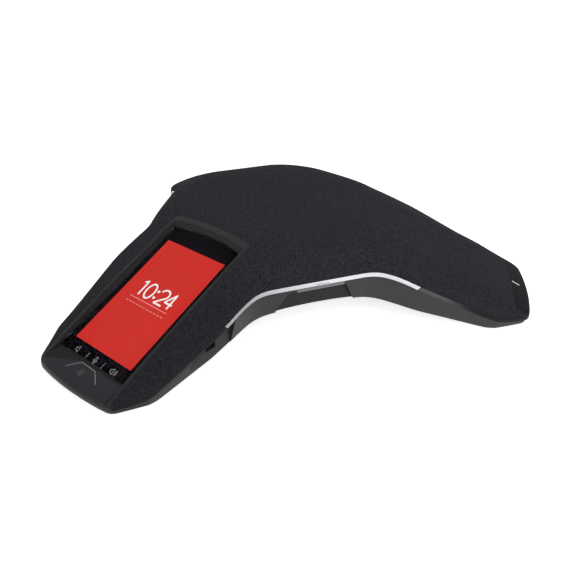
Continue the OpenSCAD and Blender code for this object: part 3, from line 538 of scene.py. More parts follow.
def placed(tree, group, place=None, **values):
    """A shared effect in a material, with values of its own and at the piece's place or another."""
    inputs = {label.replace("_", " "): value for label, value in values.items()}
    inputs["Place"] = place or here(tree)
    return node(tree, "ShaderNodeGroup", inputs, node_tree=group).outputs


def colours(tree, factor, dark, light):
    ramp = node(tree, "ShaderNodeValToRGB", {0: factor})
    ramp.color_ramp.elements[0].color = (*dark, 1)
    ramp.color_ramp.elements[1].color = (*light, 1)
    return ramp.outputs[0]


def bumped(tree, height, strength, distance):
    inputs = {"Strength": strength, "Distance": distance, "Height": height}
    return node(tree, "ShaderNodeBump", inputs).outputs[0]


def shaded(colour, amount):
    return tuple(min(1.0, c * amount) for c in colour)


def varied(tree, factor, colour, spread):
    """A colour that varies with a factor by a share of itself, down and up."""
    return colours(tree, factor, shaded(colour, 1 - spread), shaded(colour, 1 + spread))


def plastic(name, colour, rough, grain=0.0006, bump=0.25, specular=0.2):
    made, tree, shader = material(name)
    look = placed(tree, GRAIN, Grain_Size=grain, Patch_Size=0.035)
    tint = varied(tree, look["Patches"], colour, 0.1)
    dust = math_node(tree, "MULTIPLY", look["Specks"], 0.05)
    fill(tree, shader, {
        "Base Color": mixed(tree, dust, tint, (0.5, 0.5, 0.5, 1)),
        "Roughness": between(tree, look["Patches"], rough - 0.07, rough + 0.07),
        "Specular IOR Level": specular,
        "Normal": bumped(tree, look["Height"], bump, 0.0001),
    })
    return made


def metal(name, colour, rough, line=0.0004):
    made, tree, shader = material(name)
    lines = placed(tree, BRUSH, Line_Size=line)["Lines"]
    fill(tree, shader, {
        "Base Color": colours(tree, lines, shaded(colour, 0.85), shaded(colour, 1.08)),
        "Roughness": between(tree, lines, rough - 0.08, rough + 0.1),
        "Metallic": 1.0,
        "Normal": bumped(tree, lines, 0.1, 0.00005),
    })
    return made


def overlaid(made, factor, colour):
    """Lays a colour over a material's own by a factor that its tree works out."""
    tree = made.node_tree
    own = next(n for n in tree.nodes if n.type == "BSDF_PRINCIPLED").inputs["Base Color"]
    tree.links.new(mixed(tree, factor, own.links[0].from_socket, (*colour, 1)), own)
    return made


def shaded_side(made, start, end, low):
    """Paints shade into a material's colour towards the display arm's far side, down to a share of its
    colour.
    """
    look = placed(made.node_tree, SHADE, Start=start, End=end)
    return overlaid(made, math_node(made.node_tree, "MULTIPLY", look["Shade"], 1 - low), (0, 0, 0))


def fabric_material():
    made, tree, shader = material("charcoal_mesh_fabric")
    cloth = node(tree, "ShaderNodeUVMap", uv_map="unrolled").outputs[0]
    look = placed(tree, WEAVE, cloth, Pitch=0.0016)
    slow = placed(tree, GRAIN, Grain_Size=0.002, Patch_Size=0.05)
    fibres = math_node(tree, "MULTIPLY", look["Threads"], 0.35)
    yarn = math_node(tree, "MULTIPLY_ADD", look["Stitches"], 0.65, fibres)
    thread = colours(tree, yarn, (0.0108, 0.0104, 0.0128), (0.0455, 0.0441, 0.0527))
    deep = mixed(tree, math_node(tree, "MULTIPLY", look["Holes"], 0.9), thread, (0.004, 0.004, 0.005, 1))
    worn = colours(tree, slow["Patches"], (0.88, 0.88, 0.9), (1, 1, 1))
    relief = math_node(tree, "MULTIPLY_ADD", look["Threads"], 0.3, look["Height"])
    fill(tree, shader, {
        "Base Color": mixed(tree, 1.0, deep, worn, "MULTIPLY"),
        "Roughness": between(tree, look["Threads"], 0.75, 0.95),
        "Specular IOR Level": 0.03,
        "Sheen Weight": 0.02,
        "Sheen Roughness": 0.5,
        "Normal": bumped(tree, relief, 0.7, 0.0003),
    })
    return made


def glowing(name, colour, shade=0.06):
    """A lit picture or print: its colour varies a little over the surface."""
    made, tree, shader = material(name)
    look = placed(tree, GRAIN, Grain_Size=0.0004, Patch_Size=0.04)
    fill(tree, shader, {
        "Base Color": (0.01, 0.01, 0.01, 1),
        "Emission Color": varied(tree, look["Patches"], colour, shade),
        "Emission Strength": 1.0,
        "Roughness": between(tree, look["Height"], 0.4, 0.6),
        "Specular IOR Level": 0.0,
    })
    return made


def glass_material():
    made, tree, shader = material("cover_glass")
    look = placed(tree, GRAIN, Grain_Size=0.004, Patch_Size=0.03)
    fill(tree, shader, {
        "Base Color": (0.97, 0.98, 0.98, 1),
        "Roughness": between(tree, look["Patches"], 0.0, 0.012),
        "Transmission Weight": 1.0,
        "IOR": 1.0,
    })
    return made


def strip_material():
    made, tree, shader = material("milky_light_strip")
    look = placed(tree, GRAIN, Grain_Size=0.0008, Patch_Size=0.02)
    fill(tree, shader, {
        "Base Color": colours(tree, look["Patches"], (0.66, 0.66, 0.7), (0.78, 0.78, 0.82)),
        "Roughness": between(tree, look["Height"], 0.28, 0.42),
        "Coat Weight": 0.3,
        "Coat Roughness": 0.15,
        "Normal": bumped(tree, look["Height"], 0.08, 0.00005),
    })
    return made


def trim_greys_by_reach(name, sides, end, start, stop):
    """A trim with one grey along an arm's sides and another round its end."""
    made, tree, shader = material(name)
    look = placed(tree, GRAIN, Grain_Size=0.0006, Patch_Size=0.035)
    dark, light = (0.92, 0.92, 0.93), (1.08, 1.08, 1.1)
    greys = [colours(tree, look["Patches"], shaded(dark, grey), shaded(light, grey)) for grey in (sides, end)]
    ending = eased(tree, kept(tree, "reach"), 0.0, 1.0, start, stop)
    fill(tree, shader, {
        "Base Color": mixed(tree, ending, *greys),
        "Roughness": between(tree, look["Patches"], 0.38, 0.5),
        "Specular IOR Level": 0.1,
        "Normal": bumped(tree, look["Height"], 0.15, 0.0001),
    })
    return made


# Where the chin's painted reflection edge starts, in millimetres down the glass
CHIN_REFLECTION_EDGE_X = 58.2


def chin_material():
    """The chin's plastic, black near the glass and charcoal further on, with a soft edge between them that
    lies further out on one side; the split is a painted reflection.
    """
    made = plastic("charcoal_chin", (0.017, 0.0178, 0.0205), 0.42, grain=0.0005, bump=0.2, specular=0.12)
    tree = made.node_tree
    place = here_parts(tree)
    spread = math_node(tree, "MAXIMUM", math_node(tree, "MULTIPLY_ADD", place["X"], -0.42, -0.0025), 0.0)
    start = (HUB_Y - LCD_REACH - CHIN_REFLECTION_EDGE_X * math.cos(TILT)) * MM
    beyond = math_node(tree, "SUBTRACT", math_node(tree, "MULTIPLY_ADD", place["Y"], -1.0, start), spread)
    return overlaid(made, eased(tree, beyond, 0.85, 0.0, -0.0007, 0.0012), (0.002, 0.002, 0.0026))


def base_material():
    """Grey base with painted shade towards the display arm's far side and on the bays' backs, and a painted
    black shadow band right under that arm's trim.
    """
    plain = plastic("warm_grey_base", (0.038, 0.038, 0.0383), 0.5, grain=0.0007, bump=0.3)
    # Painted shade towards the display arm's far side
    made = shaded_side(plain, 0.03, 0.14, 0.36)
    tree = made.node_tree
    # Painted shadow: a black band right under the display arm's trim, from the strip's end to near the arm's
    # end
    reach = math_node(tree, "MULTIPLY_ADD", here_parts(tree)["Y"], -1.0, HUB_Y * MM)
    past_strip = eased(tree, reach, 0.0, 1.0, 0.112, 0.116)
    before_end = eased(tree, reach, 1.0, 0.0, 0.178, 0.188)
    by_trim = eased(tree, kept(tree, "under_trim"), 1.0, 0.0, 0.0045, 0.0053)
    band = math_node(tree, "MULTIPLY", math_node(tree, "MULTIPLY", past_strip, before_end), by_trim)
    overlaid(made, band, (0.005, 0.005, 0.006))
    # Painted shade on the bays' back walls, where the recess is in shade
    return overlaid(made, math_node(tree, "MULTIPLY", kept(tree, "bay_back"), 0.62), (0, 0, 0))


def board_material():
    made, tree, shader = material("green_circuit_board")
    look = placed(tree, GRAIN, Grain_Size=0.0009, Patch_Size=0.012)
    cells = node(tree, "ShaderNodeTexBrick", {
        "Vector": here(tree), "Scale": 260.0, "Mortar Size": 0.05,
        "Color1": (0.012, 0.09, 0.04, 1), "Color2": (0.016, 0.12, 0.055, 1), "Mortar": (0.03, 0.2, 0.09, 1),
    })
    fill(tree, shader, {
        "Base Color": cells.outputs["Color"],
        "Roughness": between(tree, look["Patches"], 0.3, 0.5),
        "Normal": bumped(tree, cells.outputs["Fac"], 0.3, 0.00004),
    })
    return made


def wound_copper():
    made, tree, shader = material("enamelled_copper_wire")
    turns = node(tree, "ShaderNodeTexWave", {"Vector": here(tree), "Scale": 900.0}, bands_direction="Z")
    wave = turns.outputs["Fac"]
    fill(tree, shader, {
        "Base Color": colours(tree, wave, (0.28, 0.1, 0.03), (0.6, 0.26, 0.09)),
        "Roughness": between(tree, wave, 0.45, 0.25),
        "Metallic": 0.9,
        "Normal": bumped(tree, wave, 0.6, 0.0001),
    })
    return made


# Painted shade: the fabric's colour darkens towards the display arm's far side
FABRIC = shaded_side(fabric_material(), 0.07, 0.14, 0.75)
BASE_PLASTIC = base_material()
HOUSING_PLASTIC = plastic("black_housing", (0.018, 0.018, 0.02), 0.55)
FRONT_TRIM = trim_greys_by_reach("black_front_trim", 0.005, 0.028, 0.1915, 0.1935)
# Painted reflection: the arm trims' grey along the sides stands in for light off black plastic; round the
# ends they stay dark
ARM_TRIM = trim_greys_by_reach("arm_trim_painted_reflection", 0.08, 0.01, 0.128, 0.154)
# Painted highlight: the bay lip's pale colour stands in for the strip's light on it
LIP_HIGHLIGHT_PLASTIC = plastic("bay_lip_painted_highlight", (0.168, 0.168, 0.176), 0.45, bump=0.15)
CAP_PLASTIC = plastic("end_cap_black", (0.0125, 0.013, 0.0145), 0.5, specular=0.01)
BEZEL_PLASTIC = plastic("charcoal_bezel", (0.018, 0.0185, 0.02), 0.5, grain=0.0005, bump=0.3, specular=0.1)
CHIN_PLASTIC = chin_material()
PRINT_BLACK = plastic("black_glass_print", (0.0042, 0.0036, 0.0046), 0.5, bump=0.05, specular=0.0)
SOCKET_PLASTIC = plastic("socket_black", (0.012, 0.012, 0.013), 0.4)
RUBBER = plastic("matt_rubber", (0.02, 0.02, 0.02), 0.85, grain=0.0004, bump=0.5, specular=0.3)
CONE_PAPER = plastic("pressed_cone_paper", (0.016, 0.015, 0.014), 0.9, grain=0.0012, bump=0.8)
SPIDER_CLOTH = plastic("resin_cloth", (0.25, 0.14, 0.05), 0.8, grain=0.0009, bump=0.8)
FERRITE = plastic("ferrite_magnet", (0.04, 0.04, 0.042), 0.6, grain=0.0005, bump=0.4)
FILM = plastic("amber_ribbon_film", (0.5, 0.22, 0.03), 0.35, bump=0.1)
BACKLIGHT = plastic("white_backlight_film", (0.75, 0.75, 0.73), 0.6, bump=0.05)
LEAD_RED = plastic("lead_insulation", (0.3, 0.02, 0.02), 0.4, bump=0.1)
STEEL = metal("plated_steel", (0.6, 0.61, 0.62), 0.34)
GOLD = metal("gold_contacts", (0.8, 0.55, 0.2), 0.28, line=0.0002)
COPPER = wound_copper()
BOARD = board_material()
GLASS = glass_material()
# Painted shade: the light strip's colour darkens towards the display arm's far side
STRIP = shaded_side(strip_material(), 0.07, 0.115, 0.44)
SCREEN = glowing("red_screen", (0.585, 0.0165, 0.0105))
INK_WHITE = glowing("white_screen_ink", (0.9, 0.88, 0.87), shade=0.02)
INK_PINK = glowing("pale_screen_ink", (0.75, 0.34, 0.3), shade=0.03)
KEY_WHITE = glowing("lit_key_marks", (0.36, 0.36, 0.375), shade=0.05)
CHIN_MARK = plastic("grey_chin_mark", (0.2, 0.2, 0.21), 0.4, bump=0.05)
DIM_MARK = plastic("dim_acoustic_mesh", (0.04, 0.036, 0.04), 0.6, grain=0.0004, bump=0.4)
SLOT_LIGHT = glowing("slot_light", (0.86, 0.86, 0.89), shade=0.05)

NODE_LOOKS = {
    "base_housing": BASE_PLASTIC, "top_housing": HOUSING_PLASTIC, "speaker_chamber": HOUSING_PLASTIC,
    "speaker_basket": HOUSING_PLASTIC, "lcd_panel": PRINT_BLACK, "lcd_backlight": BACKLIGHT,
    "lcd_backplate": STEEL, "touch_key_board": BOARD, "led_boards": BOARD, "main_board": BOARD,
    "mic_socket_boards": BOARD, "mic_boards": BOARD, "shield_can": STEEL, "ethernet_jack": STEEL,
    "usb_port": STEEL, "mic_socket_right": SOCKET_PLASTIC, "mic_socket_left": SOCKET_PLASTIC,
    "display_ribbon": FILM, "speaker_yoke": STEEL, "speaker_magnet": FERRITE, "speaker_top_plate": STEEL,
    "voice_coil": COPPER, "speaker_spider": SPIDER_CLOTH, "speaker_cone": CONE_PAPER, "dust_cap": CONE_PAPER,
    "speaker_surround": RUBBER, "speaker_gasket": RUBBER, "speaker_lead": LEAD_RED, "mic_boots": RUBBER,
    "foot_front": RUBBER, "foot_right": RUBBER, "foot_left": RUBBER, "housing_screws": STEEL,
}
for name, look in NODE_LOOKS.items():
    nodes[name].data.materials.clear()
    nodes[name].data.materials.append(look)


# Fabric, bezel, chin and end caps out of the dome's skin
def dome_shell(name, outer, inner):
    return skin(name, dome_top(outer), dome_rings(outer) + dome_rings(inner)[::-1], dome_top(inner))


def dome_solid(name):
    return skin(name, dome_top(0.0), dome_rings(0.0) + [band_ring(BAND_W, 1)], np.zeros(3))


def bowed_plan(x0, x1, half, bow0, bow1, steps=25):
    """A plan from x0 to x1 whose two ends bow, by how much they move at the sides."""
    shares = np.linspace(-1, 1, steps)
    first = [(x0 + bow0 * f * f, f * half) for f in shares]
    return np.array(first + [(x1 + bow1 * f * f, f * half) for f in shares[::-1]])


def display_opening(grow):
    plan = bowed_plan(BEZEL_U - grow, ARM_REACH + 5, BEZEL_W / 2 + grow, LENS_TOP_BOW * math.cos(TILT), 0)
    return prism("display_opening", plan, -1, CROWN_Z + 10, on_arm(0))


def cap_opening(k, grow):
    low = (ARM_REACH - CAP_LEN - grow, -CAP_W / 2 - grow, -1)
    return block("cap_opening", low, (ARM_REACH + 5, CAP_W / 2 + grow, CROWN_Z), on_arm(k))


def unroll(piece):
    """Lays the weave out flat: the plan, let out along the nearest edge's outward direction by the drop."""
    co = hub_points(piece)
    every = 3
    near = np.concatenate([
        ((part[:, None, :2] - EDGE[None, ::every]) ** 2).sum(-1).argmin(1) * every
        for part in np.array_split(co, 40)
    ])
    drop = np.maximum(ridge(soft_u(co[:, :2])) - co[:, 2], 0.0)
    flat = (co[:, :2] + OUTWARD[near] * drop[:, None]) * MM
    layer = piece.data.uv_layers.new(name="unrolled")
    corner = np.empty(len(piece.data.loops), int)
    piece.data.loops.foreach_get("vertex_index", corner)
    layer.data.foreach_set("uv", flat[corner].ravel().astype(np.float32))


fabric = formed(
    dome_shell("stretched_fabric", 0.0, FABRIC_T), "DIFFERENCE",
    display_opening(FIT), cap_opening(1, FIT), cap_opening(2, FIT),
)
unroll(fabric)
finished(smooth(fabric, 40), FABRIC, replaces=["fabric_cover"])

FAR, RECESS_H, CHIN_LAP = 120.0, 14.0, 1.6
CHIN_FROM = LENS_DOWN - LENS_BOW - CHIN_LAP
SEAT_HALF = LENS_W / 2 + 2 * FIT


def open_plan(up, wide):
    """The glass's outline, let out at its top and sides and open towards the arm's end."""
    return bowed_plan(-LENS_UP - up, FAR, LENS_W / 2 + wide, LENS_TOP_BOW, 0)


def lens_plan(grow, wide):
    """The glass's outline, let out at both ends and at the sides."""
    return bowed_plan(-LENS_UP - grow, LENS_DOWN + grow, LENS_W / 2 + wide, LENS_TOP_BOW, LENS_BOW)


def recess_form():
    """The recess round the glass, wider towards the top."""
    run, lean = RECESS_H * RECESS_RUN / GLASS_DROP, RECESS_H * math.tan(math.radians(RECESS_LEAN))
    low, high = open_plan(FIT, FIT), open_plan(FIT + run, FIT + lean)
    return loft("recess", [at_height(low, 0), at_height(high, RECESS_H)], on_glass)


bezel = formed(
    dome_solid("display_surround"), "INTERSECT", display_opening(0),
    block("above_module", (-FAR, -FAR / 2, -MODULE_Z), (FAR, FAR / 2, FAR), on_glass),
)
formed(
    bezel, "DIFFERENCE", recess_form(),
    prism("lens_seat", open_plan(FIT, FIT), -LENS_T - FIT / 2, FIT / 2, on_glass),
    block("module_seat", (-MODULE_X - FIT, -MODULE_Y - FIT, -FAR), (FAR, MODULE_Y + FIT, 0), on_glass),
    block("chin_seat", (CHIN_FROM - FIT, -SEAT_HALF, -FAR), (FAR, SEAT_HALF, FAR), on_glass),
)
finished(smooth(bezel, 28), BEZEL_PLASTIC, replaces=["display_bezel"])


def glass_at(x):
    return np.array([LCD_REACH + x * math.cos(TILT), GLASS_Z - x * math.sin(TILT)])


CHIN_LIP, CHIN_WALL, CHIN_ARCH, MIC_HOLE_R = 0.8, 2.2, 0.7, 0.8


def chin_form():
    """The form of the chin: its top falls from the glass to the arm's end in a soft arch."""
    top, start = glass_at(CHIN_FROM), glass_at(LENS_DOWN + 2)
    end = np.array([ARM_REACH + 1, float(band_mid(ARM_REACH)) + BAND_H / 2 + CHIN_LIP])
    plan = [(top[0], 0), top, *bend(start, (start + end) / 2 + CHIN_ARCH, end, 25), (end[0], 0)]
    return prism("chin_form", plan, -LENS_W / 2, LENS_W / 2, on_arm(0), "y")


chin = formed(dome_solid("key_chin"), "INTERSECT", chin_form())
room_end, room_half = (ARM_REACH - LCD_REACH) / math.cos(TILT) - 2 * CHIN_WALL, LENS_W / 2 - CHIN_WALL
formed(
    chin, "DIFFERENCE",
    prism("lens_end", lens_plan(FIT, 1), -LENS_T - FIT / 2, 4, on_glass),
    block("chin_hollow", (LENS_DOWN + 1, -room_half, -FAR), (room_end, room_half, -CHIN_WALL), on_glass),
    block("module_room", (-FAR, -LENS_W, -FAR), (LENS_DOWN + 1, LENS_W, -MODULE_Z), on_glass),
)
chin_skin = BVHTree.FromPolygons([v.co for v in chin.data.vertices], [p.vertices for p in chin.data.polygons])
round_hole = np.linspace(0, 2 * math.pi, 25)[:-1]
hole = [(MIC_REACH + MIC_HOLE_R * math.cos(a), MIC_HOLE_R * math.sin(a)) for a in round_hole]
formed(chin, "DIFFERENCE", prism("mic_hole", hole, -1, CROWN_Z, on_arm(0)))
finished(smooth(chin, 28), CHIN_PLASTIC, replaces=["display_chin"])

SLOT_HALF_L, SLOT_HALF_W = 3.0, 0.6
LIGHT_HALF_L, LIGHT_HALF_W, LIGHT_SINK, LIGHT_DEPTH = 2.9, 0.56, 0.02, 1.2


def slot_form(k, half_l, half_w):
    low, high = (MIC_REACH - half_l, -half_w, 0), (MIC_REACH + half_l, half_w, CROWN_Z)
    return block("microphone_slot", low, high, on_arm(k))


for k, side in ((1, "right"), (2, "left")):
    cap = formed(dome_shell("arm_end_" + side, 0.0, CAP_WALL), "INTERSECT", cap_opening(k, 0))
    formed(cap, "DIFFERENCE", slot_form(k, SLOT_HALF_L, SLOT_HALF_W))
    finished(smooth(softened(cap, 0.3, 2, 45), 35), CAP_PLASTIC, replaces=["end_cap_" + side])
    light = dome_shell("microphone_light_" + side, LIGHT_SINK, LIGHT_DEPTH)
    formed(light, "INTERSECT", slot_form(k, LIGHT_HALF_L, LIGHT_HALF_W))
    finished(smooth(light, 35), SLOT_LIGHT)

# Glass, the print behind it, the picture and its marks
PRINT_ROOM, PRINT_EDGE, ABOVE_SKIN = 0.1, 0.3, 20.0
PICTURE_Z, INK_Z, BORDER_Z, KEY_Z = (lift - LENS_T for lift in (0.03, 0.045, 0.06, 0.075))
GLASS_UP = Vector(in_part(on_glass([0, 0, 1])) - in_part(on_glass([0, 0, 0]))).normalized()
lens = prism("cover_lens", lens_plan(0, 0), PRINT_ROOM - LENS_T, 0, on_glass)
softened(lens, 0.25, 2, 50)
finished(smooth(lens, 40), GLASS, replaces=["display_lens"])


def face_up(mesh):
    """Turns all faces of a flat mesh out of the glass."""
    for face in mesh.faces:
        face.normal_update()
        if face.normal.dot(GLASS_UP) < 0:
            face.normal_flip()


def sheet_of(name, outer, hole, z, look):
    """A flat print: an outline, with a hole where one is given, facing out of the glass."""
    mesh = bmesh.new()
    loops = [outer] if hole is None else [outer, hole]
    edges = []
    for plan in loops:
        corners = [mesh.verts.new(p) for p in in_part(on_glass(at_height(plan, z)))]
        edges += [mesh.edges.new((corners[i - 1], corners[i])) for i in range(len(corners))]
    bmesh.ops.triangle_fill(mesh, use_beauty=True, use_dissolve=False, edges=edges)
    face_up(mesh)
    piece = new_object(name, [], [])
    mesh.to_mesh(piece.data)
    mesh.free()
    return finished(piece, look)


def rectangle(x0, x1, half):
    return np.array([(x0, -half), (x1, -half), (x1, half), (x0, half)])


window = rectangle(-LCD_L / 2, LCD_L / 2, LCD_W / 2)
border = lens_plan(-PRINT_EDGE, -PRINT_EDGE)
sheet_of("glass_border_print", border, window, BORDER_Z, PRINT_BLACK)
sheet_of("lcd_picture", window, None, PICTURE_Z, SCREEN)


def stroke_faces(points, width, start):
    """Flat ribbon along a line of points, as vertices and faces."""
    points = np.asarray(points, float)
    ahead = np.gradient(points, axis=0)
    ahead /= np.linalg.norm(ahead, axis=1)[:, None] + 1e-12
    across = np.column_stack([-ahead[:, 1], ahead[:, 0]]) * width / 2
    verts = np.vstack([points + across, points - across])
    n = len(points)
    return verts, [(start + i, start + i + 1, start + n + i + 1, start + n + i) for i in range(n - 1)]


def marks(name, lines, width, lift, look, under=None):
    """Lines drawn on the glass's plane, or laid on a piece's skin, as one flat mesh."""
    verts, faces = [], []
    for line in lines:
        v, f = stroke_faces(line, width, len(verts))
        verts += [tuple(p) for p in v]
        faces += f
    spots = in_part(on_glass(at_height(verts, lift)))
    if under is not None:
        hits = [under.ray_cast(Vector(p) + GLASS_UP * ABOVE_SKIN * MM, -GLASS_UP) for p in spots]
        spots = [place + normal * lift * MM for place, normal, _, _ in hits]
    piece = new_object(name, spots, faces)
    mesh = bmesh.new()
    mesh.from_mesh(piece.data)
    face_up(mesh)
    mesh.to_mesh(piece.data)
    mesh.free()
    return finished(piece, look)


def arc(cx, ct, radius, a0, a1, n=13, squash=1.0):
    """Points of an arc about (cx, ct), angles in degrees from the direction up the glass, clockwise."""
    angles = np.radians(np.linspace(a0, a1, n))
    return [(cx - radius * squash * math.cos(a), ct + radius * math.sin(a)) for a in angles]


def finer(points, step=1.0):
    points = np.asarray(points, float)
    out = [points[0]]
    for p, q in zip(points[:-1], points[1:]):
        n = max(1, math.ceil(np.linalg.norm(q - p) / step))
        out += [p + (q - p) * j / n for j in range(1, n + 1)]
    return np.array(out)


def digit(figure, x, t, h):
    """Strokes of a figure of height h, with its foot at x and its middle at t."""
    w = h * 0.29
    top = x - h
    if figure == "0":
        return [arc(x - h / 2, t, w, 0, 360, 33, h / 2 / w)]
    if figure == "1":
        return [[(top + h * 0.16, t - w * 0.55), (top, t + w * 0.15), (x, t + w * 0.15)]]
    if figure == "2":
        bowl = arc(top + w, t, w, -80, 130, 17)
        return [bowl + [(x - h * 0.02, t - w), (x, t - w)], [(x, t - w), (x, t + w)]]
    if figure == "4":
        return [[(x, t + w * 0.45), (top, t + w * 0.45), (x - h * 0.3, t - w), (x - h * 0.3, t + w)]]
    return [arc(x - h * f, t, h * 0.035, 0, 360, 13) for f in (0.25, 0.7)]


CLOCK_FOOT, CLOCK_H, CLOCK_STROKE = 0.6, 12.2, 1.3
RULE_X, RULE_HALF, DASH_X, DASH_STEP, DASH_HALF, THIN_STROKE = 3.4, 18.2, 7.3, 3.4, 1.1, 0.45
clock = []
for figure, t in zip("10:24", (-13.7, -6.2, 0.0, 6.2, 13.7)):
    clock += digit(figure, CLOCK_FOOT, t, CLOCK_H)
marks("clock_figures", [finer(line) for line in clock], CLOCK_STROKE, INK_Z, INK_WHITE)
status = [[(RULE_X, -RULE_HALF), (RULE_X, RULE_HALF)]]
for i in range(-5, 6):
    status.append([(DASH_X, DASH_STEP * i - DASH_HALF), (DASH_X, DASH_STEP * i + DASH_HALF)])
marks("status_marks", [finer(line) for line in status], THIN_STROKE, INK_Z, INK_PINK)

KEY_X, KEY_STROKE, DIVIDER_T, DIVIDER_STROKE = 53.1, 0.28, 8.2, 0.3


def speaker_mark(t, waves):
    """Outline of a loudspeaker that opens to the right, with its waves."""
    body = [(-0.9, -2.2), (-0.9, -1.1), (-2.3, 0.5), (2.3, 0.5), (0.9, -1.1), (0.9, -2.2)]
    outline = [(KEY_X + down, t + across) for down, across in body + body[:1]]
    return [outline] + [arc(KEY_X, t - 0.2, 1.3 + 1.1 * i, 52, 128, 9) for i in range(1, waves + 1)]


def microphone_mark(t):
    """Outline of a microphone in its holder, on a foot."""
    top, low, foot, half = KEY_X - 1.8, KEY_X - 0.2, KEY_X + 2.5, 0.75
    body = arc(top, t, half, -90, 90, 9) + arc(low, t, half, 90, 270, 9) + [(top, t - half)]
    holder = arc(KEY_X - 0.4, t, 1.7, 95, 265, 13)
    return [body, holder, [(KEY_X + 1.3, t), (foot, t)], [(foot, t - 1.1), (foot, t + 1.1)]]


keys = speaker_mark(-18.0, 0) + speaker_mark(17.6, 2) + microphone_mark(0.0)
marks("touch_key_marks", [finer(line, 0.4) for line in keys], KEY_STROKE, KEY_Z, KEY_WHITE)
dividers = [[(KEY_X - 2.2, t), (KEY_X + 3.3, t)] for t in (-DIVIDER_T, DIVIDER_T)]
marks("key_dividers", dividers, DIVIDER_STROKE, KEY_Z, CHIN_MARK)

BRACKET = [(66.8, -13.0), (59.2, -5.6), (59.0, -4.9), (59.4, 7.8), (59.6, 8.5), (65.9, 17.0)]
MESH_X, MESH_T, MESH_HALF_L, MESH_HALF_W, MESH_STROKE, MARK_LIFT = 64.9, 0.8, 2.6, 2.1, 0.4, 0.03
marks("chin_bracket", [finer(BRACKET)], THIN_STROKE, MARK_LIFT, CHIN_MARK, under=chin_skin)
mesh_rows = []
for t in np.linspace(-1.9, 1.9, 11):
    half = MESH_HALF_L * math.sqrt(1 - (t / MESH_HALF_W) ** 2)
    mesh_rows.append(finer([(MESH_X - half, MESH_T + t), (MESH_X + half, MESH_T + t)], 0.6))
marks("chin_acoustic_mesh", mesh_rows, MESH_STROKE, MARK_LIFT, DIM_MARK, under=chin_skin)


# Geometry Nodes: a tree's sockets, its last steps, and a run of it on a piece
def geometry_tree(name, inputs):
    """A tree with named inputs, a finish and one output, with its input sockets and its output node."""
    tree = bpy.data.node_groups.new(name, "GeometryNodeTree")
    for label, kind, value in inputs + [("Finish", "Material", None)]:
        socket = tree.interface.new_socket(label, in_out="INPUT", socket_type="NodeSocket" + kind)
        if value is not None:
            socket.default_value = value
    tree.interface.new_socket("Shape", in_out="OUTPUT", socket_type="NodeSocketGeometry")
    return tree, tree.nodes.new("NodeGroupInput").outputs, tree.nodes.new("NodeGroupOutput")


def step(tree, kind, inputs, **settings):
    """A Geometry Nodes node of this kind, by its first output."""
    return node(tree, "GeometryNode" + kind, inputs, **settings).outputs[0]


def dress(tree, shape, given, out):
    """Ends a tree: its instances made real, in the given finish."""
    real = step(tree, "RealizeInstances", {"Geometry": shape})
    dressed = step(tree, "SetMaterial", {"Geometry": real, "Material": given["Finish"]})
    fill(tree, out, {"Shape": dressed})
    return tree


def give(piece, tree, **values):
    """Runs a Geometry Nodes tree on a piece with these inputs, and keeps the result as a plain mesh."""
    run = piece.modifiers.new("shape", "NODES")
    run.node_group = tree
    sockets = {s.name: s.identifier for s in tree.interface.items_tree if s.in_out == "INPUT"}
    for label, value in values.items():
        run[sockets[label.replace("_", " ")]] = value
    return settle(piece)


# Edge band: a path at table height that carries its rise, swept with a rounded section
def band_tree():
    sizes = [("Height", "Float", 0.0035), ("Depth", "Float", 0.004), ("Corner", "Float", 0.0005)]
    tree, given, out = geometry_tree("edge_band_sweep", [("Path", "Geometry", None)] + sizes)
    path = step(tree, "MeshToCurve", {"Mesh": given["Path"]})
    upright = step(tree, "SetCurveNormal", {"Curve": path}, mode="Z_UP")
    section = step(tree, "CurvePrimitiveQuadrilateral", {"Width": given["Depth"], "Height": given["Height"]})
    corners = {"Curve": section, "Radius": given["Corner"], "Count": 4}
    rounded = step(tree, "FilletCurve", corners, mode="POLY")
    back = node(tree, "ShaderNodeCombineXYZ", {"X": math_node(tree, "MULTIPLY", given["Depth"], -0.5)})
    seated = step(tree, "Transform", {"Geometry": rounded, "Translation": back.outputs[0]})
    swept = step(tree, "CurveToMesh", {"Curve": upright, "Profile Curve": seated, "Fill Caps": True})
    rise = node(tree, "GeometryNodeInputNamedAttribute", {"Name": "rise"}, data_type="FLOAT")
    lift = node(tree, "ShaderNodeCombineXYZ", {"Z": rise.outputs["Attribute"]})
    lifted = step(tree, "SetPosition", {"Geometry": swept, "Offset": lift.outputs[0]})
    return dress(tree, lifted, given, out)


BAND_TREE = band_tree()
END_LEAN, END_FADE, BAND_CORNER = 0.68, 9.0, 0.6


def slant_ends(piece, ends):
    """Leans a band's ends outwards along their arm, sliding them down its own slope."""
    spots = hub_points(piece)
    for end in ends:
        before, after = sorted((end - 1, (end + 1) % COUNT), key=lambda i: EDGE_U[i])
        ahead = EDGE[after] - EDGE[before]
        run = np.linalg.norm(ahead)
        along, slope = ahead / run, (BAND[after] - BAND[before]) / run
        off = spots[:, :2] - EDGE[end]
        passed = off @ along
        near = np.clip(1 - np.abs(passed) / END_FADE, 0, 1) * (np.linalg.norm(off, axis=1) < 2 * END_FADE)
        shift = END_LEAN * (spots[:, 2] - BAND[end] - slope * passed) * near
        spots += np.column_stack([shift[:, None] * along, slope * shift])
    piece.data.vertices.foreach_set("co", in_part(spots).astype(np.float32).ravel())
    piece.data.update()


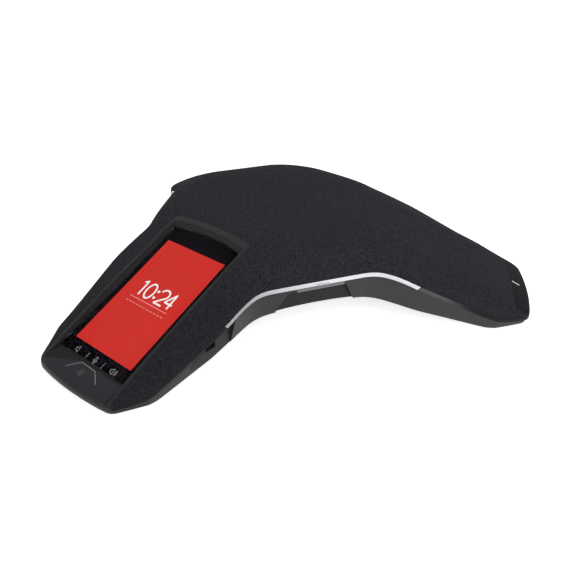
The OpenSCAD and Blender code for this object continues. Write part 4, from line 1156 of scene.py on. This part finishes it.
def band_piece(name, first, last, look):
    """A length of the edge band between two points of the plan's edge, with slanted ends."""
    count = (last - first) % COUNT
    index = (first + np.arange(count + 1)) % COUNT
    piece = new_object(name, in_part(at_height(EDGE[index], 0)), [])
    piece.data.edges.add(count)
    pairs = np.column_stack([np.arange(count), np.arange(count) + 1])
    piece.data.edges.foreach_set("vertices", pairs.ravel())
    keep_values(piece, "rise", BAND[index] * MM)
    keep_values(piece, "reach", EDGE_U[index] * MM)
    give(piece, BAND_TREE, Height=BAND_H * MM, Depth=BAND_W * MM, Corner=BAND_CORNER * MM, Finish=look)
    slant_ends(piece, (first, last))
    face_out(piece)
    return smooth(piece, 40)


def strip_end(k, side):
    spot = turned(np.array([STRIP_REACH, side * ROOT_HALF]), ARMS[k])
    return int(np.linalg.norm(EDGE - spot, axis=1).argmin())


for k, side in enumerate(("right", "back", "left")):
    strip = band_piece("light_strip_" + side, strip_end(k, 1), strip_end((k + 1) % 3, -1), STRIP)
    finished(strip, STRIP, replaces=["light_guide_" + side])
for k, side in enumerate(("front", "right", "left")):
    look = FRONT_TRIM if side == "front" else ARM_TRIM
    trim = band_piece("arm_trim_" + side, strip_end(k, -1), strip_end(k, 1), look)
    finished(trim, look, replaces=["edge_trim_" + side])

# Base: leaning wall, arched underside, bays, notches and windows
UNDER = [0.15, 0.3, 0.45, 0.6, 0.7, 0.78, 0.85, 0.9, 0.95]
CORNER_RUN, CORNER_SHARE, CORNER_UNDER = 1.2, 0.4, 0.985


def base_rings():
    """Outer rings from the band down the wall, round its rounded foot and in under the hub."""
    wall_top, corner, under = band_ring(WALL_STEP, -1), belly_ring(0, 1.0, 0), belly_ring(0, CORNER_UNDER, 0)
    slope = wall_top - corner
    share = np.minimum(CORNER_RUN / np.linalg.norm(slope, axis=1), CORNER_SHARE)
    foot = bend(corner + slope * share[:, None], corner, under, 5)
    return [wall_top] + foot + [belly_ring(0, v, 0) for v in UNDER[::-1]]


def base_solid(name):
    return skin(name, np.array([0, 0, BAND_Z - BAND_H / 2]), base_rings(), np.array([0, 0, BELLY_Z]))


def bay_form(k, grow, face):
    half, low = BAY_W / 2 + grow, BELLY_Z - 4
    flare = BAY_FLARE * (BAY_TOP - low) / (BAY_TOP - BELLY_Z)
    top = BAY_TOP + min(grow, BAY_ROOF)
    plan = [(-half - flare, low), (half + flare, low), (half, top), (-half, top)]
    return prism("bay", plan, face, face + BAY_D + 10, on_side(k), "x")


def notch_form(side, grow, lift):
    ends = np.linspace(NOTCH_FROM - grow, NOTCH_TO + grow, 13)
    plan = [(ends[0], 0), (ends[-1], 0)] + [(u, float(band_mid(u)) - BAND_H / 2 + lift) for u in ends[::-1]]
    face = ROOT_HALF - NOTCH_D - grow
    return prism("notch", plan, side * face, side * (ROOT_HALF + 10), on_arm(0), "y")


SCREW_R, SCREW_HEAD_R, SCREW_HEAD_H, SCREW_SINK, BOSS_R = 1.5, 3.0, 2.0, 1.4, 3.6
HEAD_PLAY, SHAFT_PLAY, MIC_POST_R, POST_GAP, NOTCH_ROOF = 0.3, 0.15, 4.0, 0.6, 0.8
BOARD_LIFT, BOARD_T = 2.2, 1.6
BAY_FACE = SIDE_REACH - BAY_D
BOARD_TOP = BELLY_Z + BASE_WALL + BOARD_LIFT + BOARD_T

# Housing screws: the arm, the place along and across it, and the height of the post
INNER_SCREW = (ROOT_U - 12, BEZEL_W / 2 + BOSS_R + 4, 13)
OUTER_SCREW = (NOTCH_TO + BASE_WALL + BOSS_R + 4, BEZEL_W / 2 + BOSS_R + 0.8, 9)
SCREWS = [
    (k, u, s * t, split)
    for k in range(3) for u, t, split in (INNER_SCREW, OUTER_SCREW) for s in (-1, 1)
]

# Openings for the sockets: microphone sockets in the notches, network and USB in the back bay
MIC_SOCKET_H, MIC_SOCKET_DROP = 9.0, 3.0
MIC_U = (NOTCH_FROM + NOTCH_TO) / 2
MIC_Z = float(band_mid(MIC_U)) - BAND_H / 2 - MIC_SOCKET_H - MIC_SOCKET_DROP
MIC_FACE = ROOT_HALF - NOTCH_D - BASE_WALL
MIC_WINDOW_HALF, MIC_WINDOW_LOW, MIC_WINDOW_HIGH = 4.2, 0.7, 7.7
NET_T, NET_W, NET_H, NET_LIFT = -9.0, 11.8, 8.2, 1.0
USB_T, USB_W, USB_H, WINDOW_GAP = 11.0, 9.0, 3.4, 0.3

# How much nearer to the trim the notch's back counts, for each millimetre that it is set back, so that the
# painted shadow under the trim reaches into the notch
NOTCH_SHADE = 0.82


def base_shell():
    inside = [belly_ring(BASE_WALL, v, BASE_WALL) for v in UNDER + [1.0]]
    rings = inside + [band_ring(WALL_STEP + BASE_WALL, -1)] + base_rings()
    return skin("base_shell", np.array([0, 0, BELLY_Z + BASE_WALL]), rings, np.array([0, 0, BELLY_Z]))


def recesses(name, grow, face, lift):
    """The three cable bays and the two notches, let out by their walls or not."""
    bays = [bay_form(k, grow, face) for k in range(3)]
    return joined(name, bays + [notch_form(s, grow, lift) for s in (-1, 1)])


def post(k, u, t, radius, top, sides=20):
    """A round post on the base's floor."""
    angles = 2 * math.pi * (np.arange(sides) + 0.25) / sides
    plan = [(u + radius * math.cos(a), t + radius * math.sin(a)) for a in angles]
    return prism("post", plan, float(belly(u)) + BASE_WALL / 2, top, on_arm(k))


def socket_block(name, back, front, middle, half, low, high):
    """A block in the back bay: back and front from its wall inwards, low and high from the main board up."""
    first = (BAY_FACE - back, middle - half, BOARD_TOP + low)
    last = (BAY_FACE - front, middle + half, BOARD_TOP + high)
    return block(name, first, last, on_side(1))


def window_cut(middle, width, low, high):
    half = width / 2 + WINDOW_GAP
    return socket_block("window", BASE_WALL + 1, -1, middle, half, low - WINDOW_GAP, high + WINDOW_GAP)


def mic_window_cut(s):
    first, last = sorted((s * (MIC_FACE - 1), s * (ROOT_HALF - NOTCH_D + 1)))
    low = (MIC_U - MIC_WINDOW_HALF, first, MIC_Z + MIC_WINDOW_LOW)
    return block("mic_window", low, (MIC_U + MIC_WINDOW_HALF, last, MIC_Z + MIC_WINDOW_HIGH), on_arm(0))


def screw_hole(k, u, t, sides=24):
    z = float(belly(u)) + SCREW_SINK + SCREW_HEAD_H
    head, shaft = SCREW_HEAD_R + HEAD_PLAY, SCREW_R + SHAFT_PLAY
    angles = 2 * math.pi * np.arange(sides) / sides
    ring = np.column_stack([np.cos(angles), np.sin(angles)])
    profile = [(head, -1), (head, z), (shaft, z + 0.001), (shaft, CROWN_Z)]
    return loft("screw_hole", [at_height(ring * r + (u, t), h) for r, h in profile], on_arm(k))


def below_trim(points):
    """How far points lie below the trim, for the painted shadow under it, with the notch's back counted
    nearer by how far it is set back.
    """
    u = -points[:, 1]
    in_notch = (u > NOTCH_FROM - 0.1) & (u < NOTCH_TO + 0.1)
    half = np.interp(u, [STRIP_REACH, ARM_REACH], [ROOT_HALF, TIP_HALF])
    set_back = np.where(in_notch, np.clip(half - WALL_STEP - np.abs(points[:, 0]), 0, NOTCH_D), 0)
    return band_mid(arm_u(points)) - BAND_H / 2 - points[:, 2] - NOTCH_SHADE * set_back


def on_bay_back(points):
    return np.abs(-along_arms(points[:, :2]).min(axis=-1) - BAY_FACE) < 0.05


base = base_shell()
walls = recesses("bay_walls", BASE_WALL, BAY_FACE - BASE_WALL, -NOTCH_ROOF)
formed(base, "UNION", formed(walls, "INTERSECT", base_solid("base_envelope")))
posts = [post(k, u, t, BOSS_R, float(belly(u)) + split) for k, u, t, split in SCREWS]
posts += [post(k, MIC_REACH, 0, MIC_POST_R, float(band_mid(ARM_REACH)) - POST_GAP) for k in range(3)]
formed(base, "UNION", joined("posts", posts))
formed(base, "DIFFERENCE", recesses("bays", 0, BAY_FACE, BAND_H / 2))
cuts = [window_cut(NET_T, NET_W, NET_LIFT, NET_LIFT + NET_H), window_cut(USB_T, USB_W, 0, USB_H)]
cuts += [screw_hole(k, u, t) for k, u, t, _ in SCREWS]
cuts += [mic_window_cut(s) for s in (-1, 1)]
formed(base, "DIFFERENCE", joined("windows", cuts))
base_points = hub_points(base)
# Painted shadow and shade: how far each point lies below the trim, and which points lie on the bays' backs
keep_values(base, "under_trim", below_trim(base_points) * MM)
keep_values(base, "bay_back", on_bay_back(base_points))
finished(smooth(base, 30), BASE_PLASTIC, replaces=["base_housing"])

# Lip over each bay, a ledge whose pale colour is a painted highlight, and the fine mark in the right light
# strip
WALL_SLOPE = WALL_LEAN / (BAND_Z - BAND_H / 2 - BELLY_Z)
LIP_LOW, LIP_HIGH, LIP_SINK, LIP_PROUD, LIP_FROM, LIP_TO = BAY_TOP - 0.6, BAY_TOP + 2.1, 0.3, 0.25, -15, 20
MARK_FROM, MARK_TO, MARK_LOW, MARK_HIGH = -2.5, 7.5, BAND_Z - 0.5, BAND_Z - 0.15


def wall_x(z):
    """How far the wall stands out of the middle of a hollow side at a height."""
    return SIDE_REACH - WALL_STEP - WALL_SLOPE * (BAND_Z - BAND_H / 2 - z)


def lip(k):
    low, high = wall_x(LIP_LOW), wall_x(LIP_HIGH)
    plan = [
        (low - LIP_SINK, LIP_LOW), (low + LIP_PROUD, LIP_LOW),
        (high + LIP_PROUD, LIP_HIGH), (high - LIP_SINK, LIP_HIGH),
    ]
    return softened(prism("bay_lip", plan, LIP_FROM, LIP_TO, on_side(k), "y"), 0.12, 2, 50)


finished(smooth(joined("bay_lips", [lip(k) for k in range(3)]), 40), LIP_HIGHLIGHT_PLASTIC)
mark_back, mark_front = SIDE_REACH - 0.2, SIDE_REACH + 0.04
mark = block("strip_mark", (mark_back, MARK_FROM, MARK_LOW), (mark_front, MARK_TO, MARK_HIGH), on_side(0))
finished(mark, DIM_MARK)


# Sockets: a dark lining, a tongue and rows of contacts
def row_tree():
    vectors = [(label, "Vector", None) for label in ("First", "Step", "Size", "Tilt")]
    tree, given, out = geometry_tree("contact_row", [("Count", "Int", 8)] + vectors)
    line = {"Count": given["Count"], "Start Location": given["First"], "Offset": given["Step"]}
    spots = step(tree, "MeshLine", line, mode="OFFSET")
    spring = step(tree, "MeshCube", {"Size": given["Size"]})
    turn = node(tree, "FunctionNodeEulerToRotation", {0: given["Tilt"]}).outputs[0]
    row = step(tree, "InstanceOnPoints", {"Points": spots, "Instance": spring, "Rotation": turn})
    return dress(tree, row, given, out)


ROW_TREE = row_tree()


def contact_row(name, count, middle, pitch, size, tilt=(0, 0, 0)):
    """Contacts in a row about its middle, all in millimetres round the hub, the tilt in degrees."""
    pitch = np.array(pitch)
    first = in_part(np.array(middle) - pitch * (count - 1) / 2)
    piece = give(
        new_object(name, [], []), ROW_TREE, Count=count, Finish=GOLD,
        First=tuple(map(float, first)), Step=tuple(map(float, pitch * MM)),
        Size=tuple(float(v) * MM for v in size), Tilt=tuple(map(math.radians, tilt)),
    )
    return finished(piece, GOLD)


PITCH, SPRING_W, SPRING_T = 1.02, 0.45, 0.3
LINING_BACK, LINING_FRONT, LINING_PLAY, LINING_WALL, LINING_END = 15.1, 2.25, 0.05, 0.45, 0.4
half = NET_W / 2 - LINING_PLAY
low, high = NET_LIFT + LINING_PLAY, NET_LIFT + NET_H - LINING_PLAY
lining = socket_block("network_lining", LINING_BACK, LINING_FRONT, NET_T, half, low, high)
lining_room = socket_block(
    "lining_room", LINING_BACK - LINING_END, 0, NET_T,
    half - LINING_WALL, low + LINING_WALL, high - LINING_WALL,
)
finished(formed(lining, "DIFFERENCE", lining_room), SOCKET_PLASTIC)
net_middle = (-NET_T, BAY_FACE - 8, BOARD_TOP + 6.2)
contact_row("network_contacts", 8, net_middle, (PITCH, 0, 0), (SPRING_W, 8, SPRING_T), (18, 0, 0))

TONGUE_BACK, TONGUE_FRONT, TONGUE_HALF, TONGUE_LOW, TONGUE_HIGH = 5.95, 1.2, 3.1, 1.35, 2.05
USB_PITCH, PAD_W, PAD_L, PAD_T = 0.5, 0.26, 3.4, 0.06
tongue = socket_block("usb_tongue", TONGUE_BACK, TONGUE_FRONT, USB_T, TONGUE_HALF, TONGUE_LOW, TONGUE_HIGH)
finished(tongue, SOCKET_PLASTIC)
usb_middle = (-USB_T, BAY_FACE - 3.4, BOARD_TOP + TONGUE_HIGH + PAD_T / 2)
contact_row("usb_contacts", 10, usb_middle, (USB_PITCH, 0, 0), (PAD_W, PAD_L, PAD_T))
for side, name in ((1, "right"), (-1, "left")):
    middle = (side * (MIC_FACE - 4.3), -MIC_U, MIC_Z + 5.2)
    size = (6, SPRING_W, SPRING_T)
    contact_row("microphone_contacts_" + name, 6, middle, (0, PITCH, 0), size, (0, side * 14, 0))

# Feet with rounded edges
for side in ("front", "right", "left"):
    foot = softened(welded("rubber_foot_" + side, "foot_" + side), 0.5, 3, 40)
    finished(smooth(foot, 40), RUBBER, replaces=["foot_" + side])

# Camera at the photograph's place, floor and soft light
VIEW_AZ, VIEW_EL, VIEW_ROLL = math.radians(40.33), math.radians(27.8), math.radians(0.286)
VIEW_TARGET, VIEW_DISTANCE = np.array([0.0, 0.0, 30.0]), 551.1
VIEW_FLAT = math.cos(VIEW_EL) * np.array([math.sin(VIEW_AZ), -math.cos(VIEW_AZ)])
SIGHT = np.array([*VIEW_FLAT, math.sin(VIEW_EL)])
camera = bpy.data.objects.new("camera", bpy.data.cameras.new("camera"))
scene.collection.objects.link(camera)
camera.location = in_part(VIEW_TARGET + VIEW_DISTANCE * SIGHT)
level = (-Vector(SIGHT)).to_track_quat("-Z", "Y")
camera.rotation_euler = (level @ Quaternion((0, 0, 1), VIEW_ROLL)).to_euler()
camera.data.sensor_width, camera.data.lens = 36.0, 43.62
camera.data.shift_x, camera.data.shift_y = 0.0187, -0.0719
camera.data.clip_start, camera.data.clip_end = 0.01, 50.0
scene.camera = camera
scene.view_settings.view_transform = "Standard"


def seen_rays(tree):
    """1 for rays that show the background: from the camera, off gloss or through glass."""
    rays = node(tree, "ShaderNodeLightPath").outputs
    by_way = math_node(tree, "MAXIMUM", rays["Is Glossy Ray"], rays["Is Transmission Ray"])
    return math_node(tree, "MAXIMUM", rays["Is Camera Ray"], by_way)


def floor_material():
    """Pale paper, lit to white where it is seen, a little less near the phone."""
    made, tree, shader = material("pale_floor")
    away = node(tree, "ShaderNodeVectorMath", {0: here(tree)}, operation="LENGTH").outputs["Value"]
    glow = math_node(tree, "MULTIPLY", seen_rays(tree), between(tree, away, 0.72, 1.0, 0.35, 1.2))
    fill(tree, shader, {
        "Base Color": (0.86, 0.86, 0.86, 1),
        "Roughness": 0.9,
        "Emission Color": (1, 1, 1, 1),
        "Emission Strength": glow,
    })
    return made


floor = new_object("floor", [(-4, -4, 0), (4, -4, 0), (4, 4, 0), (-4, 4, 0)], [(0, 1, 2, 3)])
floor.data.materials.append(floor_material())

SEEN_WORLD, LIGHTING_WORLD = 1.0, 0.16
world = bpy.data.worlds.new("studio")
scene.world = world
world.use_nodes = True
back = next(n for n in world.node_tree.nodes if n.type == "BACKGROUND")
strength = between(world.node_tree, seen_rays(world.node_tree), LIGHTING_WORLD, SEEN_WORLD)
fill(world.node_tree, back, {"Color": (1, 1, 1, 1), "Strength": strength})


def soft_light(name, azimuth, elevation, distance, size, watts):
    """A square lamp that points at the phone, its place by angles in degrees and a distance in metres."""
    lamp = bpy.data.objects.new(name, bpy.data.lights.new(name, "AREA"))
    lamp.data.size, lamp.data.energy = size, watts
    a, e = math.radians(azimuth), math.radians(elevation)
    lamp.location = Vector((math.cos(a) * math.cos(e), math.sin(a) * math.cos(e), math.sin(e))) * distance
    lamp.rotation_euler = (-lamp.location).to_track_quat("-Z", "Y").to_euler()
    scene.collection.objects.link(lamp)


soft_light("key_light", -25, 30, 0.8, 0.5, 3.4)
soft_light("fill_light", -90, 25, 1.5, 1.0, 4.5)
soft_light("top_light", 60, 78, 1.5, 1.0, 9.0)
